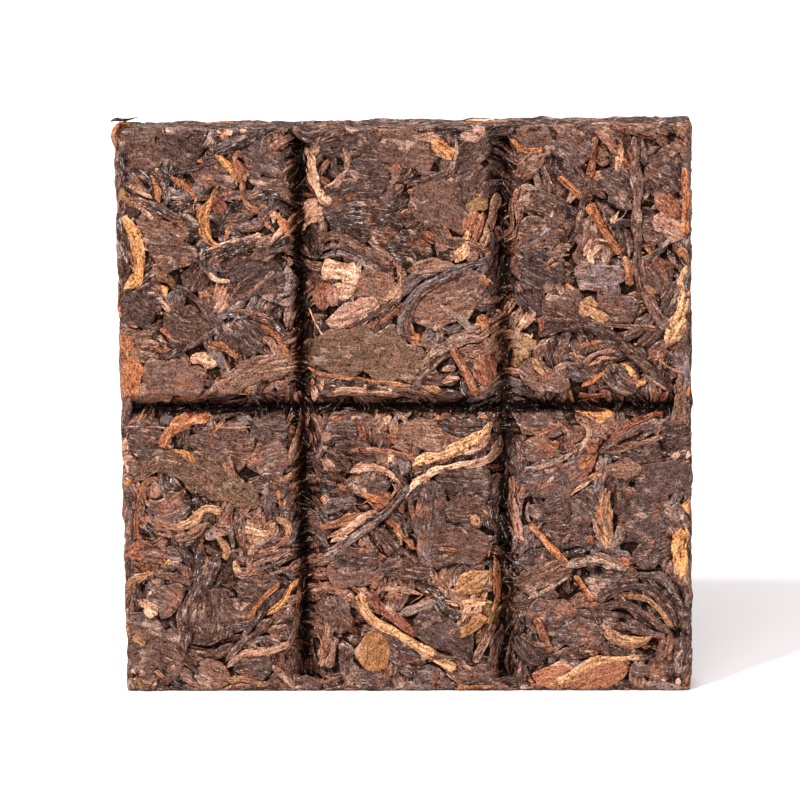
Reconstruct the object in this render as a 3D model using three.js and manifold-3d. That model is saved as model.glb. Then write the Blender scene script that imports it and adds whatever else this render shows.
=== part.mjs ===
// A pressed brick of raw pu-erh tea: a square slab of tea leaves whose front is parted by V grooves
// into two rows of three tablets. It is one solid: a core that has the mould's form, and the blades,
// rolled leaves and stems that show on its skin, half sunk in it.
// Millimetres, +Z up. The grooved front faces -Y, the brick stands on its lower edge at z = 0,
// and the origin is the middle of that edge.

import * as THREE from "three";
import { mergeVertices } from "three/addons/utils/BufferGeometryUtils.js";
import Module from "manifold-3d";

const wasm = await Module();
wasm.setup();

// Driving dimensions
const brickWidth = 100;
const brickHeight = 100.6;
const brickThickness = 12;
const leafRise = 0.5; // how far the proudest leaf stands above the core's skin
const grooveWidth = 5.6;
const grooveDepth = 3.3;
const shoulder = 0.22; // share of a groove's slope that rounds into the tablet
const uprightGrooves = [-17.5, 17.2];
const levelGroove = 50.9;
const rimRound = 1; // rounding of the slab's rim
const throughCuts = [0, 0.08, 0.5, 0.92, 1]; // cuts through the thickness, as shares of it
const tabletCut = 9; // longest cut of the skin inside a tablet
const unevenness = 0.16; // the pressed skin's slow waves
const rimUnevenness = 0.3; // how far the sides wander in from straight
const pathTolerance = 0.2; // how closely a leaf follows its path
const rootDepth = 2; // how deep a leaf goes into the core
const tipSunk = 0.35; // and how deep its two ends lie

// Sizes worked out from them
const halfWidth = brickWidth / 2;
const coreFront = -brickThickness / 2 + leafRise + unevenness;
const coreBack = -coreFront;

// A seeded draw, the same in every run
function seededDraw(seed) {
  let state = seed;
  return () => {
    state = (state + 0x6d2b79f5) | 0;
    let mixed = Math.imul(state ^ (state >>> 15), 1 | state);
    mixed = (mixed + Math.imul(mixed ^ (mixed >>> 7), 61 | mixed)) ^ mixed;
    return ((mixed ^ (mixed >>> 14)) >>> 0) / 4294967296;
  };
}

// Slow waves of height one, a sum of three sines that don't line up
function waves(a, b) {
  return (
    Math.sin(0.21 * a + 0.13 * b) +
    Math.sin(0.34 * b - 0.11 * a + 2) +
    Math.sin(0.47 * a - 0.29 * b + 4)
  ) / 3;
}

// Depth of a V groove at a distance from its bottom line, its shoulders rounded
function grooveAt(distance) {
  const reach = 1 - Math.abs(distance) / (grooveWidth / 2 + shoulder);
  if (reach <= 0) return 0;
  return grooveDepth * (reach - shoulder * (1 - Math.exp(-reach / shoulder))) / (1 - shoulder);
}

function frontSkin(x, z) {
  const cuts = [...uprightGrooves.map((g) => grooveAt(x - g)), grooveAt(z - levelGroove)];
  return coreFront + Math.max(...cuts) + unevenness * waves(x, z);
}

function backSkin(x, z) {
  return coreBack + unevenness * waves(x + 40, z);
}

// How far a side lies in from straight, at a depth and at a place along it
function rimInset(y, along) {
  return (rimUnevenness / 2) * (1 - waves(y * 3, along));
}

// Where the skin is cut along one axis: at its rim, at each groove's lines, and evenly between
function cutLines(from, to, grooves) {
  const half = grooveWidth / 2;
  const lines = [from, from + rimRound];
  for (const g of grooves) {
    const across = [-half - 0.7, -half * 0.8, -half * 0.4, 0, half * 0.4, half * 0.8, half + 0.7];
    lines.push(...across.map((offset) => g + offset));
  }
  lines.push(to - rimRound, to);
  const filled = [lines[0]];
  for (let i = 1; i < lines.length; i++) {
    const gap = lines[i] - lines[i - 1];
    const steps = Math.ceil(gap / tabletCut);
    for (let k = 1; k <= steps; k++) filled.push(lines[i - 1] + (gap * k) / steps);
  }
  return filled;
}

// The closed solid of a three.js geometry
function solidOf(geometry) {
  const bare = geometry.clone();
  bare.deleteAttribute("normal");
  bare.deleteAttribute("uv");
  const merged = mergeVertices(bare, 1e-4);
  return new wasm.Manifold(
    new wasm.Mesh({
      numProp: 3,
      vertProperties: merged.attributes.position.array,
      triVerts: new Uint32Array(merged.index.array),
    }),
  );
}

// The slab: a box whose cuts are moved to the lines, then to the two skins. Its rim is rounded and
// wanders, except along the bottom, which is flat.
function coreGeometry() {
  const xLines = cutLines(-halfWidth, halfWidth, uprightGrooves);
  const zLines = cutLines(0, brickHeight, [levelGroove]);
  const lines = [xLines, throughCuts, zLines];
  const cuts = lines.map((line) => line.length - 1);
  const box = new THREE.BoxGeometry(1, 1, 1, ...cuts);
  const place = box.attributes.position;
  for (let i = 0; i < place.count; i++) {
    const step = cuts.map((count, axis) => Math.round((place.getComponent(i, axis) + 0.5) * count));
    let x = xLines[step[0]];
    let z = zLines[step[2]];
    const share = throughCuts[step[1]];
    const front = frontSkin(x, z);
    const back = backSkin(x, z);
    const onSkin = share === 0 || share === 1;
    const onSide = step[0] === 0 || step[0] === cuts[0];
    const onEnd = step[2] === 0 || step[2] === cuts[2];
    let y = front + (back - front) * share;
    if (onSkin && (onSide || onEnd)) y -= Math.sign(y) * rimRound * 0.3;
    const bevel = onSkin ? rimRound * 0.4 : 0;
    if (onSide) x -= Math.sign(x) * (bevel + rimInset(y, z));
    if (step[2] === cuts[2]) z -= bevel + rimInset(y, x);
    if (step[2] === 0) z += bevel;
    place.setXYZ(i, x, y, z);
  }
  return box;
}

// The sheets that leaves are laid on. Each takes a place on one side of the slab, in millimetres
// along it and up it, and gives the point of the skin there.
const sheets = {
  front: (u, v) => new THREE.Vector3(u, frontSkin(u, v), v),
  back: (u, v) => new THREE.Vector3(-u, backSkin(-u, v), v),
  left: (u, v) => new THREE.Vector3(-halfWidth + rimInset(-u, v), -u, v),
  right: (u, v) => new THREE.Vector3(halfWidth - rimInset(u, v), u, v),
  top: (u, v) => new THREE.Vector3(u, v, brickHeight - rimInset(v, u)),
};

function outwardNormal(sheet, u, v) {
  const step = 1; // wide, so that it turns slowly across a groove
  const along = sheet(u + step, v).sub(sheet(u - step, v));
  const up = sheet(u, v + step).sub(sheet(u, v - step));
  return along.cross(up).normalize();
}

// The places along a path that keep it within a tolerance of the whole path
function keptPlaces(points, first, last) {
  const chord = new THREE.Line3(points[first], points[last]);
  let farthest = first;
  let distance = pathTolerance;
  for (let i = first + 1; i < last; i++) {
    const away = chord.closestPointToPoint(points[i], true, new THREE.Vector3()).distanceTo(points[i]);
    if (away > distance) [farthest, distance] = [i, away];
  }
  if (farthest === first) return [last];
  return [...keptPlaces(points, first, farthest), ...keptPlaces(points, farthest, last)];
}

// A leaf laid on a sheet: a thin strip from one place to another, bent sideways by a bow, with
// pointed ends. It is a sphere whose rings are moved to sections along the way and whose poles are
// the ends. A section is a crown between two edges that stand above the skin, and two feet in the
// core; a blade has a sunk vein between two crowns.
function leafGeometry({ sheet, from, to, bow, width, rise, blade }) {
  const start = new THREE.Vector2(...from);
  const run = new THREE.Vector2(...to).sub(start);
  const length = run.length();
  const side = new THREE.Vector2(-run.y, run.x).normalize();
  const middleAt = (t) =>
    start.clone().addScaledVector(run, t).addScaledVector(side, 4 * bow * t * (1 - t));
  const fine = Math.ceil(length / 0.7);
  const path = Array.from({ length: fine + 1 }, (_, i) => middleAt(i / fine));
  const laid = path.map((place) => sheet(place.x, place.y));
  const taper = Math.max(1, Math.round((fine * Math.min(width, length / 5)) / length));
  const stops = [taper, ...keptPlaces(laid, taper, fine - taper)];
  const edge = rise * 0.6;
  const crowns = blade ? [[-0.25, rise], [0, rise * 0.4], [0.25, rise]] : [[0, rise]];
  const section = [[-0.4, -rootDepth], [-0.5, edge], ...crowns, [0.5, edge], [0.4, -rootDepth]];
  const geometry = new THREE.SphereGeometry(1, section.length, stops.length + 1);
  const place = geometry.attributes.position;
  for (let i = 0; i < place.count; i++) {
    const ring = Math.floor(i / (section.length + 1));
    const isTip = ring === 0 || ring > stops.length;
    const middle = path[ring === 0 ? 0 : isTip ? fine : stops[ring - 1]];
    const [share, lift] = isTip ? [0, -tipSunk] : section[(i % (section.length + 1)) % section.length];
    const spot = middle.clone().addScaledVector(side, share * width);
    const normal = outwardNormal(sheet, middle.x, middle.y);
    place.setXYZ(i, ...sheet(spot.x, spot.y).addScaledVector(normal, lift));
  }
  return geometry;
}

const spread = [0.7548776662, 0.5698402910]; // steps that spread places evenly over a square

// The plain leaves of one side, the largest first, spread evenly over it. They lie at a turn, give
// or take half the tilt.
function scatteredLeaves(sheet, plan) {
  const { count, seed, low, high, longest, shortest, widest, turn, tilt, rise = leafRise } = plan;
  const draw = seededDraw(seed);
  const leaves = [];
  for (let n = 0; n < count; n++) {
    const age = n / count;
    const length = (longest + (shortest - longest) * Math.sqrt(age)) * (0.85 + 0.3 * draw());
    const blade = n % 3 === 0;
    const width = blade ? widest * (1 - 0.4 * age) : 1.2 + (widest * 0.42 - 1.2) * draw();
    const angle = turn + (draw() - 0.5) * tilt;
    const reach = [Math.cos(angle), Math.sin(angle)].map((part) => Math.abs(part * length) / 2);
    const slant = Math.sign(Math.cos(angle) * Math.sin(angle)) || 1;
    const place = [0, 1].map((axis) => {
      const share = (0.5 + (n + 1) * spread[axis]) % 1;
      const room = Math.max(0, high[axis] - low[axis] - 2 * reach[axis]);
      return (high[axis] + low[axis]) / 2 + (share - 0.5) * room;
    });
    leaves.push({
      sheet,
      from: [place[0] - reach[0], place[1] - slant * reach[1]],
      to: [place[0] + reach[0], place[1] + slant * reach[1]],
      bow: (draw() - 0.5) * length * 0.2,
      width,
      rise: blade ? rise * 0.7 : rise * (0.6 + 0.4 * draw()),
      blade,
    });
  }
  return leaves;
}

// The stems and leaves that stand out on the front: from, to, bow to the left of that way, width
const markedStems = [
  { from: [-48.3, 86], to: [-46, 74.4], bow: -1.3, width: 2.3 }, // golden bud by the left rim
  { from: [-46, 74.6], to: [-49.6, 72], bow: 0.3, width: 1.6 }, // its bent tip
  { from: [-48.2, 90.8], to: [-42.5, 87.8], bow: 0.3, width: 1.7 },
  { from: [-43.2, 93], to: [-42.4, 87.4], bow: -0.3, width: 1.3 },
  { from: [-39.9, 92], to: [-35.8, 86.6], bow: -0.6, width: 1.5 },
  { from: [-32.4, 90.4], to: [-33.4, 80.2], bow: 1.1, width: 1.9 },
  { from: [-29.6, 94.8], to: [-25.2, 85.4], bow: 0.9, width: 2 },
  { from: [-35, 76.6], to: [-19.4, 81.2], bow: 0.8, width: 3.4, blade: true },
  { from: [-40.5, 74.2], to: [-28, 60.6], bow: 0.8, width: 3.6, blade: true },
  { from: [-34, 54.6], to: [-17.8, 59.4], bow: 0.7, width: 4.2, blade: true },
  { from: [-16.6, 98], to: [-12.6, 87], bow: 1, width: 1.6 },
  { from: [-15.2, 80.6], to: [0, 73.6], bow: 2.2, width: 1.6 },
  { from: [14.4, 77.2], to: [-0.6, 63.2], bow: 3.2, width: 1.8 },
  { from: [-14.4, 61.4], to: [2.4, 58.4], bow: 0.6, width: 6.6, blade: true },
  { from: [13.6, 63.4], to: [1.6, 54.8], bow: 1.8, width: 2 },
  { from: [9.4, 61], to: [12.6, 54.2], bow: 0.3, width: 2.1 },
  { from: [16.2, 88.4], to: [12.4, 77.6], bow: 0.5, width: 2.2 },
  { from: [27.2, 91.6], to: [37.6, 77.4], bow: 0.5, width: 1.8 },
  { from: [33.2, 97.4], to: [29.2, 79.6], bow: 0.5, width: 1.9 },
  { from: [25.8, 66.2], to: [47, 54.6], bow: 2.1, width: 1.9 },
  { from: [40.6, 79], to: [47, 63.4], bow: -2, width: 1.6 },
  { from: [48.7, 94.2], to: [48.8, 81], bow: 0, width: 2 },
  { from: [49, 74.6], to: [46.6, 62.8], bow: 1, width: 2.6 },
  { from: [-48.6, 40], to: [-24.4, 34.4], bow: 4, width: 5, blade: true },
  { from: [-36.2, 28.6], to: [-38.6, 10], bow: -1.2, width: 4.4, blade: true },
  { from: [-23, 19.6], to: [-28.6, 13.4], bow: 0.5, width: 1.2 },
  { from: [-19, 21], to: [-25, 13.4], bow: -0.6, width: 1.6 },
  { from: [-32.2, 4.8], to: [-20.2, 9.6], bow: 1.1, width: 1.4 },
  { from: [-23.6, 4.8], to: [-20, 0.6], bow: 0.2, width: 1.9 },
  { from: [-9, 17.2], to: [8.6, 3.4], bow: -0.9, width: 2.3 },
  { from: [15.6, 45.4], to: [-0.4, 35.4], bow: -1.9, width: 2 },
  { from: [14.6, 47], to: [1.2, 40.6], bow: -0.5, width: 2.1 },
  { from: [-0.8, 36], to: [-13.6, 25.6], bow: 1.1, width: 1.9 },
  { from: [-4, 30.4], to: [2.2, 23.4], bow: 0.2, width: 1.7 },
  { from: [15.4, 25.8], to: [15.4, 12.8], bow: 0.8, width: 1.5 },
  { from: [15.2, 11.6], to: [11.8, 5], bow: 0.1, width: 2.1 },
  { from: [24.6, 0.9], to: [41.2, 6.4], bow: 1.1, width: 1.7 },
  { from: [20.2, 18], to: [39, 22.6], bow: 1.6, width: 3.4, blade: true },
  { from: [21.8, 29.8], to: [33, 17], bow: 0.3, width: 1.5 },
  { from: [36, 36.2], to: [34.4, 25.4], bow: 0.6, width: 2.6 },
  { from: [18.6, 38.4], to: [20.2, 27], bow: -0.4, width: 1.7 },
  { from: [34.4, 17], to: [47, 11.4], bow: 2.3, width: 2.3 },
  { from: [34.4, 43.4], to: [46, 48.4], bow: 1.2, width: 2 },
  { from: [48.8, 28.4], to: [48, 20.4], bow: 0, width: 2.6 },
];

function markedLeaves() {
  return markedStems.map((stem) => ({
    sheet: sheets.front,
    blade: false,
    rise: stem.blade ? leafRise * 0.7 : leafRise,
    ...stem,
  }));
}

function brickGeometry() {
  const rim = 1.6;
  const halfDepth = brickThickness / 2 - 2.4;
  const face = { low: [-halfWidth + rim, rim], high: [halfWidth - rim, brickHeight - rim] };
  const side = { low: [-halfDepth, rim], high: [halfDepth, brickHeight - rim] };
  const top = { low: [-halfWidth + rim, -halfDepth], high: [halfWidth - rim, halfDepth] };
  const edge = { longest: 12, shortest: 6, widest: 3, rise: leafRise * 0.55 };
  const leaves = [
    ...markedLeaves(),
    ...scatteredLeaves(sheets.front, {
      ...face, count: 14, seed: 11, longest: 22, shortest: 9, widest: 5, turn: 0, tilt: Math.PI,
    }),
    ...scatteredLeaves(sheets.back, {
      ...face, count: 24, seed: 23, longest: 30, shortest: 14, widest: 6.5, turn: 0, tilt: Math.PI,
    }),
    ...scatteredLeaves(sheets.left, { ...side, ...edge, count: 8, seed: 5, turn: Math.PI / 2, tilt: 0.9 }),
    ...scatteredLeaves(sheets.right, { ...side, ...edge, count: 8, seed: 6, turn: Math.PI / 2, tilt: 0.9 }),
    ...scatteredLeaves(sheets.top, { ...top, ...edge, count: 8, seed: 7, turn: 0, tilt: 0.9 }),
  ];
  const body = [coreGeometry(), ...leaves.map(leafGeometry)].map(solidOf);
  const joined = wasm.Manifold.union(body);
  const under = new THREE.BoxGeometry(brickWidth * 2, brickThickness * 3, 20).translate(0, 0, -10);
  const mesh = joined.subtract(solidOf(under)).getMesh();
  return new THREE.BufferGeometry()
    .setAttribute("position", new THREE.BufferAttribute(mesh.vertProperties, 3))
    .setIndex(new THREE.BufferAttribute(mesh.triVerts, 1));
}

const pressedTea = new THREE.MeshStandardMaterial({ color: 0x6b4a3a, roughness: 0.75, metalness: 0 });

const brick = new THREE.Group();
const teaBrick = new THREE.Mesh(brickGeometry(), pressedTea);
teaBrick.name = "tea_brick";
brick.add(teaBrick);

export default brick;
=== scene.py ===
"""The looks of a pressed brick of raw pu-erh tea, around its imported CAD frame.

The brick is a slab of tea leaves. Each of its six sides is a sheet on which leaves are laid one
over another and pressed flat. Places on a sheet are in millimetres, along it and up it. Once all
are laid, the runs of each leaf that show become closed skins, which are joined by kind.
"""

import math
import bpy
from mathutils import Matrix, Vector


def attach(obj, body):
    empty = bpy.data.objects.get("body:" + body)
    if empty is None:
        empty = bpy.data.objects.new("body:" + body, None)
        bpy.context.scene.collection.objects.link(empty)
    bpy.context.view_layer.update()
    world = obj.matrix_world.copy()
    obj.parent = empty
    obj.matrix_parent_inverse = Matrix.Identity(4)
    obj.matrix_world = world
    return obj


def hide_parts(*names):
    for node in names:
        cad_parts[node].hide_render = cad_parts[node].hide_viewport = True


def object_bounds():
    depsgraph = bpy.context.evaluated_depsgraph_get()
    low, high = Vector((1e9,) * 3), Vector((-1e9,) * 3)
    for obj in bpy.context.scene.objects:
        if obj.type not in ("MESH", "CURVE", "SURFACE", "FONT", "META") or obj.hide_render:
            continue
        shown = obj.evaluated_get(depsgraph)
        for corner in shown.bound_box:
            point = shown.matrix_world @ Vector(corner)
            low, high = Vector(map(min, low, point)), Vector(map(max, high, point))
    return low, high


bl_info = {
    "name": "Pressed tea brick",
    "version": (1, 0, 0),
    "blender": (4, 5, 0),
    "location": "View3D > Sidebar > Tea brick",
    "description": "Builds a grooved brick of pressed tea leaves, with its stage",
    "category": "Add Mesh",
}

from functools import lru_cache
from types import SimpleNamespace

import bpy
import numpy as np
from bpy.props import FloatProperty, FloatVectorProperty, IntProperty, PointerProperty
from bpy.types import Operator, Panel, PropertyGroup
from mathutils import Matrix, Vector

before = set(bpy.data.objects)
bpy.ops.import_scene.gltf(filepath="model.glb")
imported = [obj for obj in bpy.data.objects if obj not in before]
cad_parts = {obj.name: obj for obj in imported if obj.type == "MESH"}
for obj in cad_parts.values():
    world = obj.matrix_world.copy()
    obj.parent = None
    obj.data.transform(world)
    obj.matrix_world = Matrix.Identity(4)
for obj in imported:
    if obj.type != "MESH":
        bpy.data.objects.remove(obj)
CAD_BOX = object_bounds()

MM = 0.001
LOW, HIGH = (np.array(corner) / MM for corner in CAD_BOX)
MIDDLE = (LOW + HIGH) / 2

# The mould's form, in millimetres
UPRIGHT_GROOVES = (-17.5, 17.2)
LEVEL_GROOVE = 50.9
GROOVE_WIDTH = 5.6
GROOVE_DEPTH = 3.3
SHOULDER = 0.22  # share of a groove's slope that rounds into the tablet
SKIN_UNDER_BOX = 0.42  # the leaves' mean level lies this far inside the CAD box
RIM_RADIUS = 0.7
TALLER_AT_RIGHT = 0.4
RIM_WANDER = 0.22  # how far the outline wanders from straight
CORE_STEP = 1.3  # between places on the core

# How leaves stack
CELL = 0.16  # of the raster that holds a sheet's height
MARGIN = 4.0  # of that raster past the sheet's rims
PRESS_REACH = 3.2  # the press evens out heights over this distance
PRESS_SCALE = 0.24  # the press flattens heights by this scale
PRESS_START = 0.4  # from this height on
OWN_RELIEF = 0.8  # share of a leaf's own relief that the press leaves
CRUMPLE = 0.08  # height of the ridges that run on from leaf to leaf
LEAST_SHOWN = 0.06  # a leaf of which less than this share shows is left out
STIFFNESS = 1.6  # a leaf bridges dips of about this length
TRIES = 9  # a scattered leaf takes the lowest of this many places
NEAR, CLOSE = 0.7, 0.28  # distances over which the height round a place is evened out
SKIRT = 0.35  # a leaf's skin reaches this far under its thickness
GRAIN_SHIFT = 90.0  # the leaves' grain patterns start up to this far apart
HOLE_DEPTH = 0.9
LEAF_SEED, STEM_SEED, CRUMB_SEED = 1947, 31, 77

# Painted shade in the front's grooves: at their bottom, and in bands beside their middle lines,
# each with its distance from the line, its reach and its strength. The band under the level
# groove's upper lip is a painted shadow; a band on one wall of each upright groove paints its shade
GROOVE_PAINTED_SHADE = 0.36
LIP_PAINTED_SHADOW = (-0.35, 0.65, 0.85)
WALL_PAINTED_SHADE = ((-0.95, 1.1, 0.44), (1.0, 1.1, 0.24))


def srgb(*levels):
    """Linear colour of display levels from 0 to 255: ((c / 255 + 0.055) / 1.055) to the 2.4."""
    share = np.array(levels, float) / 255
    return np.where(share <= 0.04045, share / 12.92, ((share + 0.055) / 1.055) ** 2.4)


def waves(a, b):
    """Slow waves of height one: the mean of three sines that don't line up."""
    return (
        np.sin(0.21 * a + 0.13 * b)
        + np.sin(0.34 * b - 0.11 * a + 2)
        + np.sin(0.47 * a - 0.29 * b + 4)
    ) / 3


def groove_depth(distance):
    """Depth of a V groove at a distance from its bottom line: the reach r = 1 - distance over
    half the width, less s (1 - exp(-r / s)), which rounds its shoulder."""
    reach = np.maximum(0, 1 - np.abs(distance) / (GROOVE_WIDTH / 2 + SHOULDER))
    rounded = reach - SHOULDER * (1 - np.exp(-reach / SHOULDER))
    return GROOVE_DEPTH * rounded / (1 - SHOULDER)


def grooves(u, v):
    """Depth of the front's grooves: the deepest of the three at each place."""
    depth = groove_depth(v - LEVEL_GROOVE)
    for middle in UPRIGHT_GROOVES:
        depth = np.maximum(depth, groove_depth(u - middle))
    return depth


def no_grooves(u, v):
    """Depth zero at each place."""
    return np.zeros(np.broadcast(u, v).shape)


def round_rim(place, low, high):
    """Carries a place along a sheet round the rim's quarter circle and on down the side. Returns
    the place across, how far it lies back, and the normal's share across and outward."""
    past = np.maximum(place - (high - RIM_RADIUS), 0) - np.maximum(low + RIM_RADIUS - place, 0)
    turn = np.clip(past / RIM_RADIUS, -np.pi / 2, np.pi / 2)
    beyond = np.abs(past - turn * RIM_RADIUS)
    across = np.clip(place, low + RIM_RADIUS, high - RIM_RADIUS) + RIM_RADIUS * np.sin(turn)
    back = RIM_RADIUS * (1 - np.cos(turn)) + beyond
    return across, back, np.sin(turn), np.cos(turn)


def wander(points):
    """The brick's unevenness: its outline wanders, and it is taller towards the right."""
    share = (points - MIDDLE) / (HIGH - MIDDLE)
    x, y, z = points.T
    edge = share**6
    moved = points.copy()
    moved[:, 0] += RIM_WANDER * edge[:, 0] * waves(2.6 * z, 3 * y)
    moved[:, 2] += RIM_WANDER * edge[:, 2] * np.clip(share[:, 2], 0, 1) * waves(2.3 * x, 3 * y)
    moved[:, 2] += TALLER_AT_RIGHT * share[:, 0] / 2 * np.clip(share[:, 2], 0, 1)
    moved[:, 2] = np.maximum(moved[:, 2], 0)
    return moved


class Sheet:
    """A side of the brick: where its leaves are laid, and how high they are stacked. Detail is how
    finely its leaves are divided."""

    def __init__(self, name, along, up, outward, low, high, level, form=no_grooves, detail=0.7):
        self.name = name
        self.detail = detail
        self.along, self.up, self.outward = (np.array(axis, float) for axis in (along, up, outward))
        self.low, self.high = np.array(low, float), np.array(high, float)
        self.level = level
        self.form = form
        cells = np.ceil((self.high - self.low + 2 * MARGIN) / CELL).astype(int)
        self.height = np.zeros(cells)
        self.owner = np.full(cells, -1)
        self.leaves = []

    def carry(self, u, v, rise):
        """The point in the brick's frame of a place on the sheet, raised along its normal."""
        across_u, back_u, lean_u, out_u = round_rim(u, self.low[0], self.high[0])
        across_v, back_v, lean_v, out_v = round_rim(v, self.low[1], self.high[1])
        out = self.level - self.form(u, v) - back_u - back_v + rise * out_u * out_v
        parts = (
            (across_u + rise * lean_u, self.along),
            (across_v + rise * lean_v, self.up),
            (out, self.outward),
        )
        return sum(part[..., None] * axis for part, axis in parts)

    def cells_of(self, u, v):
        """The raster's cells that places lie in."""
        i = np.clip(((u - self.low[0] + MARGIN) / CELL).astype(int), 0, self.height.shape[0] - 1)
        j = np.clip(((v - self.low[1] + MARGIN) / CELL).astype(int), 0, self.height.shape[1] - 1)
        return i, j

    def stack_at(self, u, v):
        """How high the leaves are stacked at places."""
        return self.height[self.cells_of(u, v)]

    def stack(self, u, v, face):
        """Raises the stack to a new leaf's face, and marks as its own the cells where it lies on
        top. Returns the cells that it covers."""
        i, j = self.cells_of(u, v)
        before = self.height[i, j]
        np.maximum.at(self.height, (i, j), face)
        on_top = face >= np.maximum(before, self.height[i, j] - 0.05)
        self.owner[i[on_top], j[on_top]] = len(self.leaves)
        return i, j


def blurred(field, reach):
    """A field smoothed by a Gaussian of that reach in cells, as a product of spectra."""
    spectrum = np.fft.rfft2(field)
    along = np.fft.fftfreq(field.shape[0])[:, None]
    up = np.fft.rfftfreq(field.shape[1])[None, :]
    falloff = np.exp(-2 * (np.pi * reach) ** 2 * (along**2 + up**2))
    return np.fft.irfft2(spectrum * falloff, field.shape)


def crumpled(rng, shape):
    """Ridges that run on from leaf to leaf: -|n| of smoothed random fields n of height one, at
    two reaches, less their mean."""
    total = np.zeros(shape)
    for reach, height in ((1.5, 0.6), (0.75, 0.4)):
        field = blurred(rng.normal(size=shape), reach / CELL)
        ridge = -np.abs(field / field.std())
        total += height * (ridge - ridge.mean())
    return total


def smooth_run(rng, count, spacing, reach):
    """Seeded wavering along a run of places, of height about one: random values at knots a reach
    apart, joined by cosines."""
    knots = rng.normal(0, 0.6, int(count * spacing / reach) + 3)
    place = np.arange(count) * spacing / reach + rng.random()
    knot = place.astype(int)
    share = (1 - np.cos((place - knot) * np.pi)) / 2
    return knots[knot] * (1 - share) + knots[knot + 1] * share


def smooth_path(corners, spacing):
    """Places evenly along the Catmull-Rom curve through the corners, the unit tangents there, and
    the curve's length."""
    corners = np.array(corners, float)
    if len(corners) == 2:
        corners = np.insert(corners, 1, corners.mean(0), axis=0)
    ends = np.vstack([2 * corners[0] - corners[1], corners, 2 * corners[-1] - corners[-2]])
    t = np.linspace(0, 1, 12, endpoint=False)[:, None]
    runs = []
    for a, b, c, d in zip(ends, ends[1:], ends[2:], ends[3:]):
        runs.append(
            0.5 * (2 * b + (c - a) * t + (2 * a - 5 * b + 4 * c - d) * t**2
                   + (3 * b - a - 3 * c + d) * t**3)
        )
    dense = np.vstack(runs + [corners[-1:]])
    gone = np.concatenate([[0], np.cumsum(np.linalg.norm(np.diff(dense, axis=0), axis=1))])
    count = max(6, int(round(gone[-1] / spacing)) + 1)
    even = np.linspace(0, gone[-1], count)
    path = np.stack([np.interp(even, gone, dense[:, k]) for k in range(dense.shape[1])], axis=1)
    tangent = np.gradient(path, axis=0)
    return path, tangent / np.linalg.norm(tangent, axis=1, keepdims=True), gone[-1]


# The kinds of leaf. Across is how many places a section has and spacing the step along the leaf.
# Thick is its thickness as a share of its width, and most its greatest thickness. Flat is the
# power that squares off its back, folds the number of ridges across it and deep the depth of its
# creases. Taper is how far from its ends it narrows, point the power by which it does, ragged how
# much its margins waver, and half its half width, less than 0.5 where the swell adds more.
KINDS = {
    "rolled": dict(across=9, spacing=0.55, thick=0.24, most=0.6, flat=3, folds=1.1, deep=0.5,
                   taper=1.6, ragged=0.3, point=0.6, half=0.46),
    "blade": dict(across=15, spacing=0.66, thick=0.1, most=0.42, flat=9, folds=2.2, deep=0.6,
                  taper=3.0, ragged=0.24, point=0.6, half=0.5),
    "sheet": dict(across=15, spacing=0.7, thick=0.08, most=0.4, flat=10, folds=1.0, deep=0.3,
                  taper=2.0, ragged=0.14, point=0.5, half=0.5),
    "stem": dict(across=9, spacing=0.7, thick=0.3, most=0.5, flat=3, folds=1.7, deep=0.35,
                 taper=0.5, ragged=0.12, point=0.6, half=0.42),
    "bud": dict(across=9, spacing=0.5, thick=0.2, most=0.36, flat=5, folds=1.4, deep=0.5,
                taper=2.4, ragged=0.34, point=0.85, half=0.47),
    "flake": dict(across=7, spacing=0.4, thick=0.12, most=0.25, flat=6, folds=1.2, deep=0.5,
                  taper=0.5, ragged=0.45, point=0.6, half=0.5),
    "fibre": dict(across=3, spacing=0.7, thick=0.7, most=0.2, flat=2, folds=0.5, deep=0,
                  taper=1.2, ragged=0, point=0.6, half=0.5),
}


def leaf_section(kind, rng, share, across, length, width):
    """How high a leaf's face stands over what it lies on, as a share of its thickness, and how
    open its creases are, from 0 at their bottom to 1.

    The back is (1 - |v|^flat)^0.6. Creases are |cos|^0.6 of a phase that grows across the leaf and
    wavers along it. A blade also has a raised vein, margins that curl, and wrinkles, which are the
    product of two |cos| at a slant to the vein.
    """
    form = KINDS[kind]
    v = across[None, :]
    t = share[:, None]
    count = len(share)
    spacing = length / (count - 1)
    back = np.maximum(1 - np.abs(v) ** form["flat"], 0) ** 0.6
    waver = 0.55 * smooth_run(rng, count, spacing, 3.5)[:, None]
    turns = rng.uniform(-0.5, 0.5) * length / 10
    phase = form["folds"] * v * rng.uniform(0.7, 1.3) + waver + turns * t + rng.random() * 2
    crease = np.abs(np.cos(np.pi * phase)) ** 0.6
    if kind in ("blade", "sheet"):
        gone, aside = t * length, v * width / 2
        slant = rng.uniform(0.5, 1.1) * np.where(v < 0, -1, 1)
        wrinkle = np.ones_like(crease)
        for reach in (2.0, 1.1):
            lines = (aside + slant * gone) / reach + waver * 1.3 + rng.random()
            wrinkle = wrinkle * (0.4 + 0.6 * np.abs(np.cos(np.pi * lines / 2)) ** 0.7)
        vein = np.exp(-((aside / 0.28) ** 2))
        crease = np.maximum(0.45 * crease + 0.75 * wrinkle, vein)
        curl = rng.uniform(-0.6, 0.9, 2)
        margin = np.where(v < 0, *curl) * np.clip((np.abs(v) - 0.7) / 0.3, 0, 1) ** 2
        section = back * (1 - form["deep"] + form["deep"] * crease + 0.5 * vein + margin)
        return np.maximum(section, 0.02), np.minimum(crease, 1)
    lean = rng.uniform(-0.3, 0.3) * v
    section = back * (1 - form["deep"] + form["deep"] * crease + lean)
    return np.maximum(section, 0.02), crease


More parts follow.
